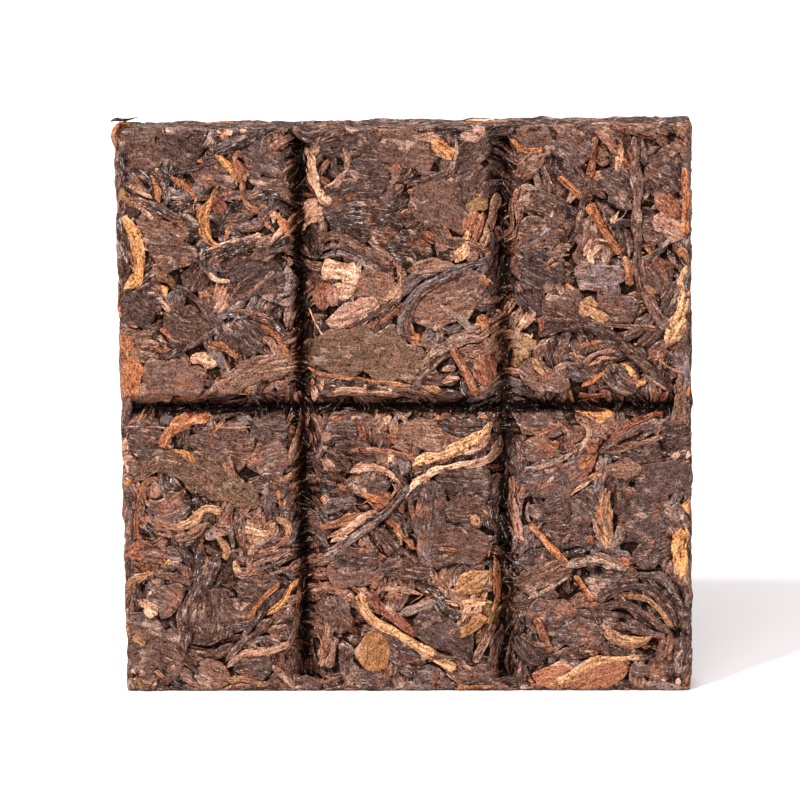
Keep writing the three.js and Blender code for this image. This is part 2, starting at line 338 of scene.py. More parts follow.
def leaf_width(kind, rng, count, spacing, length, width):
    """Half widths to the left and right of a leaf's middle line: each side has its own tapers, a
    slow swell and a wavering margin, and blades narrow as sin^0.35 towards their ends. Short ones
    are torn and narrow less."""
    form = KINDS[kind]
    gone = np.linspace(0, length, count)
    slender = min(1, length / width / 3)
    narrowing = np.clip(gone / length, 0.03, 0.97) ** rng.uniform(0.7, 1.4)
    swell = 1 + 0.3 * smooth_run(rng, count, spacing, 3)
    if kind in ("blade", "sheet", "flake"):
        swell *= np.sin(np.pi * narrowing) ** (0.35 * slender)
    sides = []
    for _ in range(2):
        first, last = form["taper"] * slender * rng.uniform(0.2, 1.7, 2)
        ends = np.minimum(gone / first, 1) * np.minimum((length - gone) / last, 1)
        wavering = smooth_run(rng, count, spacing, 2.2)
        wavering = wavering + 0.35 * smooth_run(rng, count, spacing, 0.9)
        ragged = 1 + form["ragged"] * (1.5 - 0.5 * slender) * wavering
        sides.append(ends ** form["point"] * ragged)
    half = width * form["half"]
    return [np.maximum(half * swell * side, 0.03) for side in sides]


def bedding_of(under, spacing):
    """What a leaf beds on, from the stack under it: the height along its middle line, smoothed by
    its stiffness, with three tenths of the height at each place."""
    stiff = max(1, int(STIFFNESS / spacing))
    window = np.hanning(2 * stiff + 3)[1:-1]
    padded = np.pad(under.mean(1), (stiff, stiff), mode="edge")
    along = np.convolve(padded, window / window.sum(), mode="valid")[:, None]
    return 0.7 * along + 0.3 * under


def lay_leaf(sheet, rng, kind, width, tint, corners, spread=1.0):
    """Lays a leaf on a sheet's stack, on a grid along its path and across it: its face is its
    bedding and its own thickness, thinner where it is narrow, and the stack grows by it. Spread
    is how far its tone may stray."""
    form = KINDS[kind]
    path, tangent, length = smooth_path(corners, form["spacing"] / sheet.detail)
    count = len(path)
    spacing = length / (count - 1)
    side = np.stack([-tangent[:, 1], tangent[:, 0]], axis=1)
    left, right = leaf_width(kind, rng, count, spacing, length, width)
    places_across = int(form["across"] * sheet.detail) | 1
    across = np.sin(np.linspace(-1, 1, places_across) * np.pi / 2 * 0.9) / np.sin(np.pi / 2 * 0.9)
    reach = np.where(across < 0, left[:, None], right[:, None]) * across
    places = path[:, None, :] + side[:, None, :] * reach[..., None]
    share = np.linspace(0, 1, count)
    thick = min(form["thick"] * width, form["most"]) * rng.uniform(0.85, 1.15)
    full = np.clip(np.minimum(left, right) / (width * 0.3), 0.15, 1)[:, None]
    section, crease = leaf_section(kind, rng, share, across, length, width)
    bedding = bedding_of(sheet.stack_at(places[..., 0], places[..., 1]), spacing)
    face = bedding + thick * full * section
    # As many places between the leaf's own as it takes to miss no cell
    times = [math.ceil(spacing / CELL), math.ceil(1.6 * width / places_across / CELL)]
    stretch = [np.linspace(0, size - 1, (size - 1) * n + 1) for size, n in zip(face.shape, times)]
    fields = (places[..., 0], places[..., 1], face)
    cells = sheet.stack(*(refined(field, *stretch) for field in fields))
    sheet.leaves.append(dict(
        kind=kind, tint=tint, places=places, bedding=bedding + thick * 0.5, face=face,
        length=length, cells=cells, times=times[0], share=share, reach=reach, crease=crease,
        seed=0.5 + spread * (rng.random(2) - 0.5), thick=thick,
    ))


def refined(field, rows, columns):
    """A grid's values at finer rows and columns, joined by straight lines."""
    low_row = np.minimum(rows.astype(int), field.shape[0] - 2)
    low_column = np.minimum(columns.astype(int), field.shape[1] - 2)
    row_share = (rows - low_row)[:, None]
    column_share = (columns - low_column)[None, :]
    tall = field[low_row] * (1 - row_share) + field[low_row + 1] * row_share
    return tall[:, low_column] * (1 - column_share) + tall[:, low_column + 1] * column_share


def lowest_line(sheet, rng, length, turn, tilt):
    """Four corners for a leaf's path, the inner two drawn aside, at that one of several drawn
    places where the stack is lowest."""
    bow = rng.normal(0, 0.12, 2) * length
    steps = np.array([-0.5, -0.17, 0.17, 0.5])[:, None] * length
    bends = np.array([0, *bow, 0])[:, None]
    line, lowest = None, np.inf
    for _ in range(TRIES):
        angle = turn + (rng.random() - 0.5) * tilt
        middle = rng.uniform(sheet.low, sheet.high)
        ahead = np.array([np.cos(angle), np.sin(angle)])
        aside = np.array([-ahead[1], ahead[0]])
        corners = middle + steps * ahead + bends * aside
        corners = np.clip(corners, sheet.low - 0.6, sheet.high + 0.6)
        probes = refined(corners, np.linspace(0, 3, 13), np.array([0.0, 1.0]))
        level = sheet.stack_at(probes[:, 0], probes[:, 1]).mean()
        if level < lowest:
            line, lowest = corners, level
    return line


def scatter_leaves(sheet, rng, kind, count, lengths, widths, tints, runs=1, turn=0.0, tilt=np.pi):
    """Lays leaves of one kind where the stack is low, about a direction and within a tilt. Where
    a leaf is folded, up to that many runs of it lie side by side."""
    names = list(tints)
    chances = np.array(list(tints.values()), float)
    chances /= chances.sum()
    for _ in range(count):
        length = rng.uniform(*lengths)
        width = rng.uniform(*widths)
        line = lowest_line(sheet, rng, length, turn, tilt)
        tint = names[rng.choice(len(names), p=chances)]
        across = np.array([line[0, 1] - line[-1, 1], line[-1, 0] - line[0, 0]])
        across /= np.linalg.norm(across) + 1e-6
        for run in range(rng.integers(1, runs + 1)):
            slip = rng.uniform(-0.12, 0.12, 2)
            kept = line + (line[-1] - line[0]) * np.linspace(*slip, 4)[:, None]
            lay_leaf(sheet, rng, kind, width, tint, kept + across * width * 0.85 * run)
            if rng.random() < 0.3:
                tint = names[rng.choice(len(names), p=chances)]


# What each tint's two ends look like in the light, as display levels
TINTS = {
    "black": ((34, 21, 16), (57, 37, 29)),
    "dark": ((54, 38, 33), (84, 61, 54)),
    "grey": ((80, 66, 63), (114, 96, 92)),
    "umber": ((66, 45, 37), (99, 70, 59)),
    "brown": ((88, 61, 48), (127, 92, 75)),
    "red": ((96, 53, 38), (134, 79, 56)),
    "orange": ((142, 82, 48), (182, 117, 74)),
    "gold": ((170, 110, 60), (210, 150, 92)),
    "olive": ((100, 72, 45), (134, 101, 64)),
    "rust": ((112, 66, 45), (150, 94, 66)),
    "straw": ((132, 95, 64), (172, 128, 92)),
    "moss": ((72, 51, 41), (100, 73, 54)),
    "amber": ((126, 84, 48), (164, 116, 70)),
    "ash": ((110, 92, 81), (152, 129, 113)),
    "tan": ((140, 105, 84), (182, 143, 118)),
    "honey": ((182, 132, 88), (224, 176, 128)),
    "pink": ((122, 88, 74), (164, 126, 108)),
    "cream": ((178, 136, 106), (220, 180, 148)),
}

# The leaves, buds and stems that stand out on the front, from the lowest up: kind, width, tint,
# then x and z of each corner of their paths
MARKED = (
    # Upper left tablet
    ("sheet", 8, "umber", -49.5, 97, -45, 97.5, -41, 97),
    ("sheet", 7, "dark", -42, 98.5, -38.5, 97, -35, 95),
    ("blade", 5, "umber", -38, 93.5, -33, 92.5, -28, 91),
    ("blade", 6.5, "dark", -28, 96.5, -24, 95, -20, 93),
    ("blade", 3.6, "umber", -27, 91.5, -23, 90.5, -19.5, 90),
    ("blade", 3, "black", -49.3, 86.5, -49, 81, -48.6, 75.5),
    ("blade", 5, "brown", -46.5, 84.5, -42, 83, -37, 81.5),
    ("blade", 4.4, "umber", -44.5, 79.6, -40, 78.8, -35.5, 78),
    ("sheet", 7, "dark", -31, 72, -26.5, 73.5, -20.5, 74.5),
    ("sheet", 6, "dark", -49.5, 70.5, -46.5, 68.5, -43.5, 67),
    ("blade", 6.5, "umber", -42, 68, -38, 66, -33.5, 65),
    ("blade", 5, "dark", -30, 66, -27.5, 64, -24.5, 61.5),
    ("sheet", 7, "umber", -46.5, 56.4, -41, 56.4, -35, 55),
    ("sheet", 5, "orange", -49.8, 64.5, -48.6, 59, -48.0, 52),
    ("blade", 4.6, "brown", -35.5, 53, -30, 56, -25, 58.2, -19, 59, -15.5, 58),
    ("rolled", 0.6, "tan", -26, 57.3, -22, 58, -17.5, 58.4),
    ("rolled", 2, "black", -35.2, 94.7, -31, 96.7, -26, 98.6, -21, 100.6),
    ("rolled", 1.3, "grey", -33.5, 96.6, -30, 98, -25.5, 99.9),
    ("rolled", 1.2, "dark", -41, 92.6, -36, 93.7, -31, 95.2),
    ("rolled", 2.8, "dark", -48, 88.7, -44, 86.8, -40, 84.8, -35, 83),
    ("rolled", 0.8, "tan", -47.6, 87.8, -45.3, 86.2, -43.3, 84.4),
    ("flake", 1.2, "cream", -42.3, 82.7, -40.9, 82),
    ("flake", 0.9, "cream", -39.4, 82.3, -38.5, 81.6),
    ("rolled", 0.6, "pink", -44.3, 76.3, -42.6, 76.7, -41, 76.5),
    ("rolled", 2.4, "umber", -27, 77.6, -23, 78.6, -18.8, 79.8),
    ("rolled", 3.2, "black", -35.4, 77, -31, 79.2, -25.5, 80.9),
    ("rolled", 0.7, "pink", -35.2, 78.6, -30, 80.6, -25, 81.6),
    ("rolled", 1.7, "black", -33, 81.3, -31.6, 83.6, -30.2, 86.2, -27.8, 87.2),
    ("rolled", 1.6, "black", -26, 87.6, -23, 88.6, -19.8, 87.6),
    ("rolled", 0.9, "umber", -30.5, 69.2, -28.5, 73, -24.5, 76),
    ("rolled", 0.8, "grey", -31, 70, -27, 71.5, -22.5, 75.5),
    ("rolled", 1, "umber", -23.2, 75.5, -22.4, 72, -22.8, 68.5),
    ("rolled", 1.3, "tan", -42.5, 70.3, -41.6, 69.4, -40.9, 68),
    ("rolled", 2, "dark", -41, 73.2, -37, 70.8, -34.4, 68, -31.5, 64, -29.2, 60.4),
    ("rolled", 1.4, "black", -31.5, 67.4, -27, 67.4, -23, 66, -19.8, 63),
    ("rolled", 0.5, "rust", -31.5, 68.3, -27, 68.2, -22, 66.8),
    ("rolled", 1.6, "orange", -25.3, 65.7, -22.8, 64.3, -21, 61.8, -20.4, 59.8),
    ("rolled", 1.6, "pink", -24.8, 64, -23.3, 62.4, -22.6, 60.2),
    ("rolled", 1.4, "umber", -39.3, 61, -36, 62.8, -33, 65.2),
    ("rolled", 1.6, "rust", -34.6, 62.4, -31.8, 62, -28.8, 60),
    ("rolled", 1.8, "rust", -42.9, 65.3, -41.8, 64.6, -40.6, 63.5),
    ("rolled", 1.2, "rust", -44, 62.2, -42.4, 61.3, -40.8, 61.6),
    ("flake", 1.2, "ash", -43.2, 64, -42.2, 62.8),
    ("flake", 0.9, "orange", -48.4, 66.1, -46.6, 65.5),
    ("flake", 2.2, "cream", -37.6, 59.6, -35.3, 59.8, -32.8, 58.6),
    # A pale run painting a glint beside the dark hole
    ("rolled", 0.9, "pink", -34, 54, -32.6, 55.5, -31, 56.2),
    ("bud", 1.4, "straw", -28.6, 53.4, -27.5, 54.2, -26.2, 54.8),
    ("flake", 1.2, "rust", -22.6, 55.6, -20.6, 54.9),
    ("bud", 1.3, "orange", -50.1, 71.4, -49.6, 69, -49.7, 66.2),
    ("bud", 2.6, "olive", -43.3, 75.2, -41.8, 74.1, -39.8, 73.2),
    ("bud", 1.6, "cream", -34.3, 75.6, -32.4, 73.8, -30, 73.4),
    ("bud", 0.9, "tan", -33, 74, -32.4, 72.6, -32.2, 70.6),
    ("rolled", 2.6, "rust", -29.4, 95.2, -28.3, 92.5, -27.6, 90.4),
    ("stem", 1.5, "rust", -28, 91, -27.4, 88, -26.4, 86.5, -24.4, 85.6),
    ("bud", 0.7, "gold", -27.2, 89.2, -26, 88.9, -24.3, 90),
    ("bud", 1.4, "gold", -33.9, 96.4, -31.6, 95.1, -29.6, 92.6, -28.6, 90.2),
    ("bud", 2.2, "cream", -32.2, 99.1, -30.9, 99.8, -29.2, 99.9),
    ("bud", 1.7, "cream", -28.6, 99.9, -27.3, 99.9, -25.8, 99.2),
    ("bud", 1.2, "orange", -36.2, 94.6, -35.2, 94.9, -34.2, 95.3),
    ("bud", 1.4, "rust", -25.2, 85.2, -23.6, 83.4, -22.2, 81.8),
    ("bud", 1.4, "orange", -23, 86.5, -21.2, 84.2, -19.3, 80.6),
    ("bud", 1.7, "cream", -24.7, 86.2, -23.1, 85.4, -21.9, 82.8),
    ("bud", 3.4, "red", -33.2, 88.6, -32, 87.2, -30.8, 85.4),
    ("bud", 2.2, "rust", -35.8, 87.4, -35.2, 85.9, -35.3, 84.4),
    ("bud", 1.4, "gold", -31.2, 80.4, -30.6, 82.2, -29.9, 84.2),
    ("bud", 1.8, "gold", -32.2, 90.8, -33.4, 88.2, -34.4, 85.4, -34.5, 83, -33.6, 80.6,
     -31.2, 79.6),
    ("bud", 1.5, "orange", -43.8, 93, -43.1, 90.5, -42.2, 87.2),
    ("bud", 1.7, "orange", -41.2, 92.9, -39, 91, -37, 89.6, -35.8, 87.4),
    ("bud", 1.8, "tan", -48.4, 90.8, -46, 89.6, -43.2, 88),
    ("bud", 2.2, "gold", -48.6, 86, -46.9, 81.5, -46.2, 77.5, -46.5, 74.3, -48.4, 72.8,
     -50.4, 72.4),
    ("rolled", 1.7, "black", -48.7, 97, -48.4, 93, -48.6, 90),
    ("rolled", 1.2, "black", -49.4, 100.4, -49.3, 99, -49.4, 97.4),
    # Upper middle tablet
    ("blade", 7, "dark", -15, 97.5, -9, 97, -3, 95.5),
    ("sheet", 7, "umber", -4, 97.5, 0, 96.5, 6, 95),
    ("blade", 8, "dark", -14, 85.5, -8, 87, -1, 86),
    ("blade", 6, "dark", -13, 93, -8, 92, -2, 91.5),
    ("blade", 6.5, "black", -11, 83.5, -5, 83, 1, 80.5),
    ("blade", 5, "black", -3, 79.8, 1.5, 79, 5.5, 77.5),
    ("sheet", 9, "umber", 1.5, 89.5, 7, 87, 13, 84),
    ("blade", 6, "umber", 15.3, 92.5, 12.5, 90, 11, 85.5),
    ("blade", 3.4, "olive", 10.8, 85.8, 13, 87, 15.2, 87.3),
    ("sheet", 6, "dark", 15.4, 98.5, 11.5, 95.3, 6.5, 92.4),
    ("rolled", 1.2, "umber", 8, 92.6, 4.5, 91.2, 0, 90.6),
    ("blade", 3.8, "pink", 9.6, 100.2, 12, 99, 14.6, 100.6),
    ("rolled", 1.5, "black", 9.3, 101, 9.4, 97, 8.8, 94, 7.2, 91.8),
    ("rolled", 1.5, "umber", -14.3, 98, -10, 99.8, -3.5, 100.2),
    ("rolled", 1.4, "pink", -13.8, 89.4, -11.6, 90.4, -9.2, 93.6),
    ("rolled", 1.2, "brown", -10.4, 97.6, -9.4, 95.2, -9.6, 92.6),
    ("rolled", 1.4, "tan", 1.5, 98.8, 4.5, 98.3, 8, 97.6),
    ("bud", 3, "gold", 5, 97.6, 6.7, 96.4, 8.8, 94.6),
    ("flake", 1.3, "rust", -10.2, 88.4, -8.8, 88, -7.6, 87.6),
    ("flake", 1.5, "red", -1.6, 93.8, -0.4, 92),
    # A cream flake painting a glint
    ("flake", 0.8, "cream", 1.6, 92.6, 3, 93),
    ("bud", 1.3, "orange", 0.4, 88.6, 2, 89, 3.8, 88.4),
    ("bud", 0.9, "tan", 1.4, 87.6, 2.2, 86.2, 3.2, 85),
    ("bud", 1.1, "orange", 6.8, 83.6, 7.7, 82, 8.8, 80.4),
    ("bud", 0.8, "gold", 12.4, 88.5, 13.8, 88.3, 15.2, 88),
    ("blade", 3.2, "rust", 12.8, 85.8, 12, 83.4, 11.3, 81),
    ("rolled", 2.4, "tan", 16.4, 88.8, 15.4, 84, 13.8, 79),
    ("rolled", 1.5, "rust", 14, 85.4, 13, 82, 12.2, 79.4),
    ("bud", 2.8, "honey", 11.6, 82.8, 10.8, 79.2, 9.0, 76.4),
    ("flake", 2.2, "black", 6, 77.6, 8.4, 78),
    ("blade", 3, "brown", 0, 75, 5, 76, 9.5, 75.6),
    ("rolled", 0.8, "ash", 1.6, 76.2, 3, 76.5, 4.6, 76.1),
    ("sheet", 5.5, "umber", 3.5, 71, 9, 72.5, 15, 73),
    ("blade", 5.5, "brown", 1, 67, 7, 68.6, 13, 69.5),
    ("blade", 6.5, "brown", -8, 74.6, -5, 73, -1.6, 72),
    ("blade", 6, "cream", -14.4, 75.4, -11, 75, -7.6, 73.6),
    ("blade", 3.2, "cream", -12.6, 72.8, -10.6, 71.6, -8.2, 72.2),
    ("blade", 4, "red", -14.8, 73.4, -13.8, 71, -14.2, 68),
    ("blade", 4.6, "pink", -14.2, 66, -10, 67, -4, 69.4),
    ("rolled", 1.6, "brown", -14.9, 80.4, -12, 81.5, -9.3, 80.5, -6, 78.6, -1.4, 75.6),
    ("rolled", 1.4, "umber", -14.8, 78.9, -11.5, 79.7, -8, 78.2, -4.4, 76.2, -2, 75),
    ("rolled", 1.2, "grey", -14.6, 77.4, -11, 78.4, -7.6, 77, -5.4, 75.4),
    ("rolled", 1.3, "pink", -6.2, 80.6, -4.4, 79.2, -1.8, 77, -0.5, 75.4, -0.3, 73,
     -1, 70.6, -3, 69),
    ("bud", 1.8, "straw", -1.2, 73.2, -1.8, 71.4, -3.2, 69.8),
    ("bud", 1.2, "tan", -12.9, 69, -12.1, 69.7, -11.2, 69.4),
    ("rolled", 1.1, "umber", -9.4, 65.4, -4.5, 68, -0.8, 70.4),
    ("rolled", 0.8, "rust", -9.2, 64.6, -5, 65.8, -2.2, 67.4, 0.2, 69.6),
    ("rolled", 0.9, "pink", -14.6, 63.6, -11, 64.3, -8, 65),
    ("flake", 1.5, "cream", -5.9, 82, -4.7, 80.6),
    ("sheet", 8.8, "moss", -18.5, 60.6, -12, 60.9, -5, 60.4, 4.8, 57.4),
    ("rolled", 1, "orange", -17.2, 57.8, -14, 56.8, -8, 56, -3, 55.4, 0.5, 54.8),
    ("stem", 1.8, "grey", 15, 76.8, 9.6, 75.4, 6, 73.6, 3, 72, 1, 69.6, -0.5, 66.6, -0.8, 63),
    ("stem", 1.2, "umber", 10, 74.6, 5, 72.4, 2.2, 69.6, 0.6, 66),
    ("bud", 1.5, "orange", 3, 66.4, 4.4, 67.4, 5.8, 67),
    ("bud", 0.9, "straw", 1, 66.2, 1.4, 65, 1.4, 63.6),
    # Ash runs for a pale crumpled strip and its glints: partly the strip's tone, partly painted
    # glints
    ("rolled", 1.6, "ash", 6.4, 69.2, 9, 67.2, 11, 65.2, 13, 64),
    ("rolled", 0.8, "ash", 10.8, 71, 12.4, 71.2, 13.8, 70),
    ("flake", 1.7, "orange", 12.8, 67, 14.8, 65),
    ("flake", 1.3, "orange", 13.4, 74.2, 14.8, 72.4),
    ("flake", 1.2, "orange", 1, 63.5, 2.8, 62.8),
    ("rolled", 0.7, "tan", 1.2, 62.3, 4, 61.9, 6.2, 61.4),
    ("blade", 4, "red", 12.6, 60.4, 13.8, 57.5, 14.6, 54.5),
    ("rolled", 1.8, "pink", 6.4, 57.4, 7.8, 57.8, 9.2, 57.8),
    ("rolled", 1.4, "pink", 6.2, 55.5, 8, 56, 9.8, 56),
    ("bud", 1.8, "straw", 2.8, 54.8, 4.4, 54.4, 6.2, 53.4),
    ("rolled", 1.5, "umber", 1.4, 53.8, 3.6, 57.2, 8, 60.4, 14, 61.8),
    ("bud", 1.9, "ash", 1.2, 56.6, 4.4, 59.8, 8, 62.2, 11, 63.3, 14.2, 63.2),
    ("stem", 2, "rust", 8.2, 61.6, 10, 58.6, 11.5, 55.6, 12.6, 52.6),
    ("blade", 2.2, "black", -14.2, 55.2, -9, 55, -2.5, 54.4),
    ("flake", 0.7, "cream", -12.8, 55, -12, 54.8),
    ("flake", 0.7, "cream", -7.4, 54.9, -6.6, 54.5),
    ("flake", 0.7, "cream", -2.9, 54.4, -2.1, 54),
    ("rolled", 1.7, "tan", -14.2, 53, -10, 54, -5, 53.6, -0.8, 53.2),
    ("bud", 1.6, "tan", -16.4, 56.6, -16.3, 54, -15.8, 51),
    ("bud", 1, "tan", -14.6, 56.4, -14.5, 55, -14.7, 53.4),
    ("fibre", 0.5, "cream", -17.2, 69.4, -15.9, 66.6, -14, 63.6),
    ("bud", 1.9, "cream", -17, 97.4, -15.8, 92.6, -14.8, 89.4, -12.6, 86.6),
    # Upper right tablet
    ("sheet", 6.6, "umber", 19.6, 99.6, 22.6, 98.6, 26, 99),
    ("blade", 6.5, "dark", 26, 98, 29.5, 96.5, 32.4, 94),
    ("blade", 7, "dark", 34, 92, 38, 90, 41, 86),
    ("blade", 7, "dark", 42, 93, 45.5, 91, 48.5, 88),
    ("blade", 6, "umber", 20.5, 87.5, 24, 87, 29, 84.5),
    ("blade", 6, "umber", 19.8, 81.5, 24, 81, 29, 79.4),
    ("blade", 6, "dark", 20.2, 76.8, 24, 75, 28, 72.5),
    ("blade", 5.6, "grey", 29.6, 75, 34, 74.2, 39, 73.6),
    ("blade", 6, "umber", 24, 69.6, 28, 68.4, 31.4, 66.4),
    ("blade", 6, "umber", 32.5, 68.6, 36.5, 68, 40.6, 67),
    ("blade", 5, "dark", 41, 83, 44, 82, 47.5, 80),
    ("blade", 5, "umber", 42, 76, 44, 74, 45, 70.5),
    ("blade", 5.5, "dark", 44.4, 66.6, 46.6, 69, 48.6, 73),
    ("blade", 5.4, "umber", 19.8, 58.4, 24, 56.2, 29, 54.5),
    ("blade", 5, "dark", 27, 59.6, 31, 57.6, 35, 55),
    ("blade", 4.6, "dark", 35.6, 58.6, 37.5, 56, 41, 54),
    ("blade", 4.8, "straw", 30.6, 69.4, 33, 67.8, 35.2, 65.4),
    ("blade", 3.8, "brown", 19.6, 91.6, 22, 93.8, 25.2, 95.8),
    # Ash runs painting glints on the crumpled leaf
    ("rolled", 1.3, "ash", 19.8, 89.4, 21.6, 89.6, 23.6, 89.2),
    ("rolled", 1, "ash", 19.6, 87, 21, 87.8, 22.4, 88.6),
    ("rolled", 1, "ash", 20.4, 94.8, 22, 93, 23.8, 92.4),
    ("stem", 1.4, "orange", 17.8, 100, 19, 97.8, 21.4, 96, 24.6, 96.2),
    ("rolled", 1, "tan", 24.4, 75.6, 26.5, 77.4, 29.2, 77.8),
    ("rolled", 1, "pink", 24.2, 74.5, 26.4, 76.1, 29.3, 75.9),
    ("rolled", 1, "pink", 25.8, 78.8, 27.6, 79.4, 29.4, 79),
    ("rolled", 1, "grey", 20.2, 79, 23, 80, 26, 82.5),
    ("rolled", 2.4, "black", 27.4, 86.6, 29, 85.6, 31, 84.2),
    ("bud", 1.2, "tan", 26.9, 87.2, 26.1, 85.6, 25.3, 83.6),
    ("stem", 1.6, "orange", 26.8, 91.6, 29, 89.8, 31.4, 87.4),
    ("stem", 1.8, "orange", 32, 86.6, 34.3, 83, 37.8, 77.6),
    ("stem", 0.9, "umber", 30, 84, 28.4, 81.3, 25.2, 78.2),
    ("stem", 1.6, "umber", 32.5, 91.6, 31.5, 88, 30.8, 84.5, 30.2, 81.2),
    ("stem", 1.6, "rust", 33.5, 98.4, 33.1, 94.6, 32.4, 91),
    ("rolled", 0.7, "black", 33.4, 90, 33, 88.6, 32.8, 87),
    ("stem", 1.5, "rust", 38.3, 77.6, 39.1, 75.4, 39.4, 72),
    ("rolled", 1, "black", 36.8, 96.8, 36.5, 94.2, 36.9, 91.8),
    ("bud", 1.1, "cream", 37.8, 98, 37.7, 95, 37.2, 91.8),
    ("bud", 2.3, "tan", 34.4, 99.6, 35.4, 98.6, 36.6, 97.4),
    ("bud", 1.6, "rust", 38.2, 94.4, 39.2, 93.2, 40.2, 91.8),
    ("bud", 1.1, "cream", 37.6, 85.4, 36.9, 84.3, 36.1, 83.1),
    ("bud", 0.9, "tan", 35.8, 80, 32.8, 80.2, 31.3, 77.4),
    ("bud", 1.3, "cream", 35.3, 79.4, 33.5, 78.5, 32.5, 77.4, 32.8, 75.6),
    ("bud", 1.8, "red", 27, 73.2, 27.3, 72, 27.4, 70.4),
    ("flake", 1.4, "orange", 28.2, 72.7, 29.8, 71.3),
    ("rolled", 2.4, "umber", 40.2, 98.5, 40.5, 90, 40.6, 82, 40.8, 76, 41.7, 72, 44, 67.6,
     46.6, 63.8),
    ("blade", 4.4, "pink", 43.4, 84.4, 46, 82.6, 49.2, 80.8),
    ("blade", 3.2, "red", 43.6, 88.6, 46, 86.8, 48.4, 84),
    ("rolled", 1.3, "dark", 41, 76.6, 44, 78, 46.6, 80.6),
    ("bud", 1.5, "orange", 41.8, 79, 42.8, 78.2, 43.8, 77.4),
    ("bud", 1.8, "straw", 41.7, 72.7, 42.6, 71.6, 43.6, 70.4),
    ("rolled", 1.3, "rust", 44.2, 77.2, 45.2, 75.6, 45.7, 73.6),
    ("blade", 3.2, "umber", 42.6, 94.6, 44.6, 94.4, 46.6, 96.8),
    ("rolled", 2.6, "brown", 38.2, 100.2, 43, 98.8, 47, 97, 50.4, 95.8),
    ("rolled", 1.5, "orange", 27.5, 101.2, 33, 101, 44, 101.3),
    ("blade", 2.8, "brown", 44.8, 100.6, 47.5, 100.3, 50.5, 99.6),
    ("rolled", 0.8, "black", 48, 93.2, 48.1, 89.5, 48.2, 85.6),
    ("rolled", 2.2, "orange", 49.0, 93, 49.2, 88, 49.1, 81),
    ("bud", 2.4, "orange", 47.8, 79.4, 49, 77.6, 49.4, 75),
    ("bud", 1.2, "gold", 49.5, 66.6, 49, 63.6, 49.6, 61.2),
    ("bud", 3, "honey", 49.5, 76.2, 49.2, 70, 48, 66.4, 45.8, 61.6),
    ("rolled", 1.4, "umber", 26, 66, 30, 66.2, 35, 65.4, 41, 65, 44.5, 64.4),
    ("rolled", 2.6, "umber", 23.4, 63.2, 27, 65, 31, 65, 35, 64, 38.6, 61.6, 42.5, 57.6,
     46.8, 53.4),
    ("rolled", 0.9, "black", 24, 62.4, 29, 63.4, 34, 62.6),
    ("rolled", 1.4, "red", 23.4, 63.6, 24.1, 65, 24.1, 67),
    ("bud", 2.2, "pink", 20.8, 64.6, 22, 66.5, 23.2, 68.2),
    ("rolled", 0.7, "ash", 18, 67.2, 19.4, 65, 20.6, 61.8),
    ("rolled", 0.7, "ash", 20, 61.2, 23.4, 61.7, 25.6, 63.2),
    ("bud", 1.4, "rust", 29.8, 60.8, 32, 62.2, 35.2, 62.6),
    ("bud", 1.4, "gold", 28.6, 60.6, 29.6, 60, 30.8, 59.6),
    ("rolled", 1, "pink", 31, 58.5, 33.5, 60.3, 37.2, 60.8),
    ("rolled", 0.8, "tan", 31.8, 58, 34.8, 59.4, 37.8, 59.6),
    ("bud", 1.5, "straw", 22.4, 59.8, 23.5, 57.6, 25.2, 55.8),
    ("bud", 2.2, "tan", 25.8, 56.8, 27, 58, 28.4, 58.4),
    ("rolled", 0.8, "brown", 21.2, 58.8, 23.5, 56, 26.4, 54.4),
    ("bud", 1.6, "orange", 30.8, 54.4, 33, 55.8, 35.5, 57.6),
    ("bud", 1.7, "gold", 37.6, 58.7, 39.3, 57.6, 40.7, 55.8),
    ("flake", 1.4, "gold", 40.2, 54.6, 42.2, 55.4),
    ("rolled", 0.9, "pink", 42, 56.6, 43.8, 55.2, 45.8, 53.8),
    ("rolled", 1.4, "black", 36.5, 58.6, 36.6, 56.2, 36.3, 54),
    ("rolled", 1.6, "rust", 30.2, 52.4, 33, 52.6, 35.8, 53.2),
    ("rolled", 1.2, "dark", 44.6, 61.4, 46.6, 60, 49, 58.2),
    ("stem", 1, "cream", 43.9, 60.9, 44.8, 59, 47, 57.4, 49.6, 56.8),
    ("stem", 1.5, "brown", 47.8, 56.2, 48.1, 53.6, 48.3, 51.4),
    # Lower left tablet
    ("blade", 6, "dark", -49.5, 46, -46, 45.4, -42, 44.6),
    ("blade", 7, "umber", -39, 45.6, -33, 44.6, -26, 43.6),
    ("blade", 6, "umber", -28, 40.5, -24, 42, -20.4, 43),
    ("blade", 5, "dark", -27.5, 47.5, -24, 47.4, -20.4, 47),
    ("blade", 4.6, "dark", -49.2, 36.6, -49, 31, -48.8, 26),
    ("blade", 5.6, "dark", -45.4, 34, -42, 33, -38, 35.4),
    ("blade", 5, "dark", -47.5, 25.4, -44, 24.6, -39.5, 24),
    ("blade", 5, "dark", -28, 36.6, -25, 37.4, -20.6, 36),
    ("blade", 6, "moss", -50.4, 38.6, -46, 40.4, -42, 41.6, -36, 39.8, -30, 36, -25.6, 32.8),
    ("bud", 1.5, "gold", -41.5, 43.8, -39, 42.8, -36.8, 41.6),
    ("bud", 1.8, "gold", -50.4, 39.6, -49.4, 38.4, -48, 37.9),
    ("rolled", 2.6, "orange", -34.4, 49.8, -38, 48.7, -41, 47, -43.2, 44),
    ("rolled", 0.8, "tan", -38, 50, -35.6, 49.9, -33.6, 49.3),
    ("rolled", 1.1, "rust", -31.8, 49.2, -33.4, 47, -34.4, 45.3),
    ("flake", 1.5, "orange", -48.9, 49.6, -47, 48.8),
    ("bud", 0.7, "straw", -46.1, 47.2, -45.4, 45.6, -44.9, 44),
    ("rolled", 2, "black", -40.2, 35.7, -38, 34, -35.8, 34.6),
    ("stem", 1.5, "rust", -43.2, 38.4, -45.5, 38, -46.5, 35.6, -47.3, 32.4, -47.8, 29.4,
